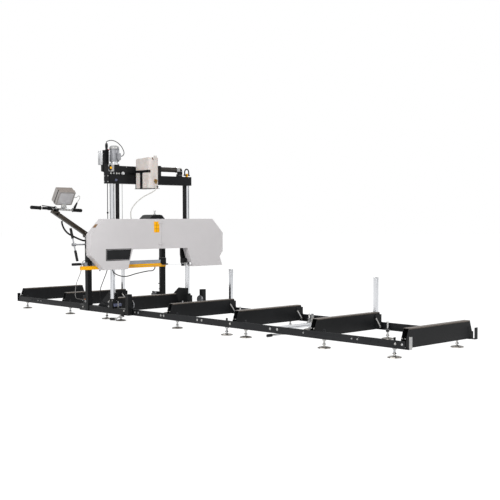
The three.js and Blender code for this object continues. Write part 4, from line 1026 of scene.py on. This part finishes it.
def drawArmDetail(bm):
    # clamp cap bolts over the bar, arm root bolts and the conduit's gland
    bolts(bm, (armX - 14, armX + 14), (-448, -406), 1128, upward, 5)
    bolts(bm, (armX - 23, armX + 23), -86, (844, 884), toNear, 6)
    pin(bm, armX, -352, (1003, 1008), 12.5, 6)
    pin(bm, armX, (-67, -76), 803, 13, 6)
    pin(bm, (1556, 1559), -446, 1142, 7, 6)
    bolts(bm, (armX - 14, armX + 14), (-342, -314), 1150, upward, 4.5, False)


make("arm_detail", drawArmDetail, zincPlate, "carriage", 0.4)

# The saw head.
head = {"z": 780, "idlerY": -160, "driveY": 1010, "wheel": 226, "bandBack": 2078, "bandFront": 2104}
dress("head_frame", blackCoat, 1.6)
dress("guide_fixed", blackCoat, 1.2, ((zincPlate, lambda x, y, z: z < 561),))
dress("drive_wheel", turnedIron, 0.8, (
    (nitrile, lambda x, y, z: x > 2079 and hypot(y - head["driveY"], z - head["z"]) > 225),))
dress("idler_wheel", turnedIron, 0.8, (
    (nitrile, lambda x, y, z: hypot(y - head["idlerY"], z - head["z"]) > 225),))
dress("idler_slide", zincPlate)
dress("motor_pulley", castAluminium, 0.8)
dress("drive_belt", nitrile, 1.2)
dress("drive_motor", blackAbs, 5.0, ((zincPlate, lambda x, y, z: z > 1070),), 3)
dress("tension_handle", castAluminium, 1.2, (
    (nitrile, lambda x, y, z: hypot(x - 2030, z - head["z"]) > 62.5),))
dress("guide_arm", yellowCoat, 1.4, (
    (guideSteel, lambda x, y, z: z > 568.6 and -462 < y < 487 and x < 2051),
    (nitrile, lambda x, y, z: y < -465),
    (signalBlue, lambda x, y, z: z < 532.6),
    (blackCoat, lambda x, y, z: y > 486 and (z > 569 or x > 2053))))
dress("cover_left", paleCoat, 2.4)
dress("cover_right", paleCoat, 2.4)


def drawBand(bm):
    # the band and its teeth, about one every 22 mm along the front edge
    radius, pitch, thick = head["wheel"] + 1.5, 22, 1.2
    straight = head["driveY"] - head["idlerY"]
    halfTurn = pi * radius
    total = 2 * (straight + halfTurn)
    count = int(total / pitch)

    def bend(y, angle):
        return y + radius * cos(angle), head["z"] + radius * sin(angle), cos(angle), sin(angle)

    def at(s):
        s %= total
        if s < straight:
            return head["idlerY"] + s, head["z"] - radius, 0, -1
        s -= straight
        if s < halfTurn:
            return bend(head["driveY"], -pi / 2 + s / radius)
        s -= halfTurn
        if s < straight:
            return head["driveY"] - s, head["z"] + radius, 0, 1
        return bend(head["idlerY"], pi / 2 + (s - straight) / radius)

    rings = []
    for tooth in range(count):
        for share, reach in ((0, 0.0), (0.25, 0.8), (0.75, 8.4), (0.8, 9.2)):
            y, z, ny, nz = at((tooth + share) * total / count)
            inner, outer = -thick / 2, thick / 2
            back, front = head["bandBack"], head["bandFront"] + reach
            corners = ((back, inner), (front, inner), (front, outer), (back, outer))
            rings.append([bm.verts.new((x, y + ny * off, z + nz * off)) for x, off in corners])
    for first, second in zip(rings, rings[1:] + rings[:1]):
        for side in range(4):
            bm.faces.new((first[side], first[(side + 1) % 4], second[(side + 1) % 4], second[side]))


make("toothed_band", drawBand, bandSteel, "head", 0, (), ("saw_band",))


def drawWheelDetail(bm, y):
    pin(bm, (2112, 2117), y, head["z"], 24, 40, 22)
    pin(bm, (2117, 2123), y, head["z"], 13, 6)
    for y1, z1 in around(6, 32, y, head["z"]):
        pin(bm, (2101, 2116), y1, z1, 4.5, 6)
    for y1, z1 in around(6, 122, y, head["z"]):
        pin(bm, (2101, 2104), y1, z1, 46, 40, 44)


make("drive_wheel_detail", lambda bm: drawWheelDetail(bm, head["driveY"]), turnedIron, "drive_wheel",
    0.8)
make("idler_wheel_detail", lambda bm: drawWheelDetail(bm, head["idlerY"]), turnedIron, "idler_wheel",
    0.8)


def drawHeadBolts(bm):
    bolts(bm, 2044, (-120, -30, 60, 880, 960), 985, ahead, 6.5)
    for side, outward in (("near", toNear), ("far", toFar)):
        at = mirrored(side)
        bolts(bm, (1926, 1978), at(-92), (868, 925, 982), outward, 6.5)
        bolts(bm, (1924, 1980), (at(-82), at(30)), 1000, upward, 5.5)
    bolts(bm, 2016, (-228, -198, -128, -74), (827, 733), behind, 5)
    for y, z in around(6, 29, head["driveY"], head["z"]):
        hexBolt(bm, (2020, y, z), behind, 4.5)
    bolts(bm, 2005, (-388, -364, -53, -29), 622, behind, 5.5)


make("head_bolts", drawHeadBolts, zincPlate, "head", 0.4)


def drawHeadBushes(bm):
    # collars where the head slides on the columns, and barrels beside the covers' hinges
    for side in ("near", "far"):
        at = mirrored(side)
        for z0, z1 in ((1000.4, 1012), (838, 849.6)):
            pin(bm, columnX, at(columnY), (z0, z1), 36, 40)
    for y in (-414, 1225):
        for z in (722, 842):
            pin(bm, 2049, y - 4, (z - 22, z + 22), 5.5, 20)


make("head_bushes", drawHeadBushes, blackCoat, "head", 0.8)


def drawShroudDetail(bm):
    # louvres pressed into both sides, the rings of the rear grille and the lid's border
    for step in range(8):
        z = 840 + step * 20
        for wall, out in ((644 - (z - 800) / 11, 1), (386 + (z - 800) / 9.2, -1)):
            turn = (Vector((1865, wall, z)), Matrix.Rotation(0.2 * out, 3, "X"))
            block(bm, (1800, 1930), (wall - out, wall + 2 * out), (z, z + 9), turn)
    for radius, depth in ((100, 4), (80, 6), (60, 8), (40, 10), (20, 12)):
        pin(bm, (1780, 1780 - depth), 515, 900, radius, 56, radius - 5)
    block(bm, (1790, 1950), (476, 568), (1066, 1069))


make("shroud_detail", drawShroudDetail, blackAbs, "head", 1.0)


knobX, knobY = 1850, 568


def drawShroudKnob(bm):
    pin(bm, knobX, knobY, (1069, 1076), 15, 32)
    pin(bm, knobX, knobY, (1106, 1114), 13, 32, 11)
    for step in range(5):
        pin(bm, knobX, knobY, (1080 + step * 5, 1082 + step * 5), 9.2, 24)


make("shroud_knob", drawShroudKnob, zincPlate, "head", 0.7)


# Cover furniture and patches, each on its own cover.
def drawKnuckles(bm, y):
    # piano-hinge knuckles on a cover's outer edge
    for z in (702, 822):
        for step in range(4):
            pin(bm, 2057, y, (z + 1 + step * 10, z + 9 + step * 10), 4.6, 20)


def drawLeftFurniture(bm):
    # the hinge's knuckles, and over-centre latches at the seam
    drawKnuckles(bm, -420.5)
    for z in (770, 985):
        block(bm, (coverX, coverX + 3), (394, 424), (z - 12, z + 12))
        block(bm, (coverX + 3, coverX + 7), (398, 446), (z - 6, z + 6))
        pin(bm, coverX + 5, 402, (z - 9, z + 9), 3, 14)


def drawRightFurniture(bm):
    drawKnuckles(bm, 1268.5)
    for z in (770, 985):
        block(bm, (coverX, coverX + 3), (440, 466), (z - 10, z + 10))
    block(bm, (coverX, coverX + 2), (432.8, 436), (726, 1016))


onHinge = ((zincPlate, lambda x, y, z: x < 2100),)
make("left_furniture", drawLeftFurniture, paleCoat, "cover_left", 0.5, onHinge)
make("right_furniture", drawRightFurniture, paleCoat, "cover_right", 0.5, onHinge)


# Bare patches on the covers: no words or marks, only their plain fields and lines.
def drawPatchLines(bm):
    for z in (923, 960):
        block(bm, (coverX + 1, coverX + 1.5), (341, 402), (z, z + 2.4))
    block(bm, (coverX + 1, coverX + 1.5), (370, 372.4), (892, 994))


def drawFacePlate(bm):
    plate(bm, [(-248, 616), (28, 616), (56, 732), (-248, 732)], "x", coverX, coverX + 1.2)


def drawPlateLines(bm):
    for z0, z1, y1 in ((623, 625, 24), (723, 725, 48)):
        block(bm, (coverX + 1.2, coverX + 1.8), (-240, y1), (z0, z1))
    block(bm, (coverX + 1.2, coverX + 1.8), (-241, -239), (623, 725))


def drawBevelPatch(bm):
    # on the slanting wall at the cover's upper left
    slope = atan2(148, 144)
    out = Vector((0, -sin(slope), cos(slope)))
    at = Vector((2098, -340, 957)) + out * 1.2
    turn = (at, Matrix.Rotation(slope, 3, "X"))
    block(bm, (2076, 2122), (at.y - 22, at.y + 22), (at.z - 0.6, at.z + 0.6), turn)


make("yellow_patch", lambda bm: block(bm, (coverX, coverX + 1), (337, 406), (888, 998)), yellowCoat,
    "cover_left", 0.3)
make("yellow_patch_lines", drawPatchLines, hammered, "cover_left", 0)
make("face_plate", drawFacePlate, blackAbs, "cover_left", 0.4)
make("face_plate_lines", drawPlateLines, paleCoat, "cover_left", 0)
make("bevel_patch", drawBevelPatch, brownVinylAndNotchShade, "cover_left", 0.2)
print("head dressed")
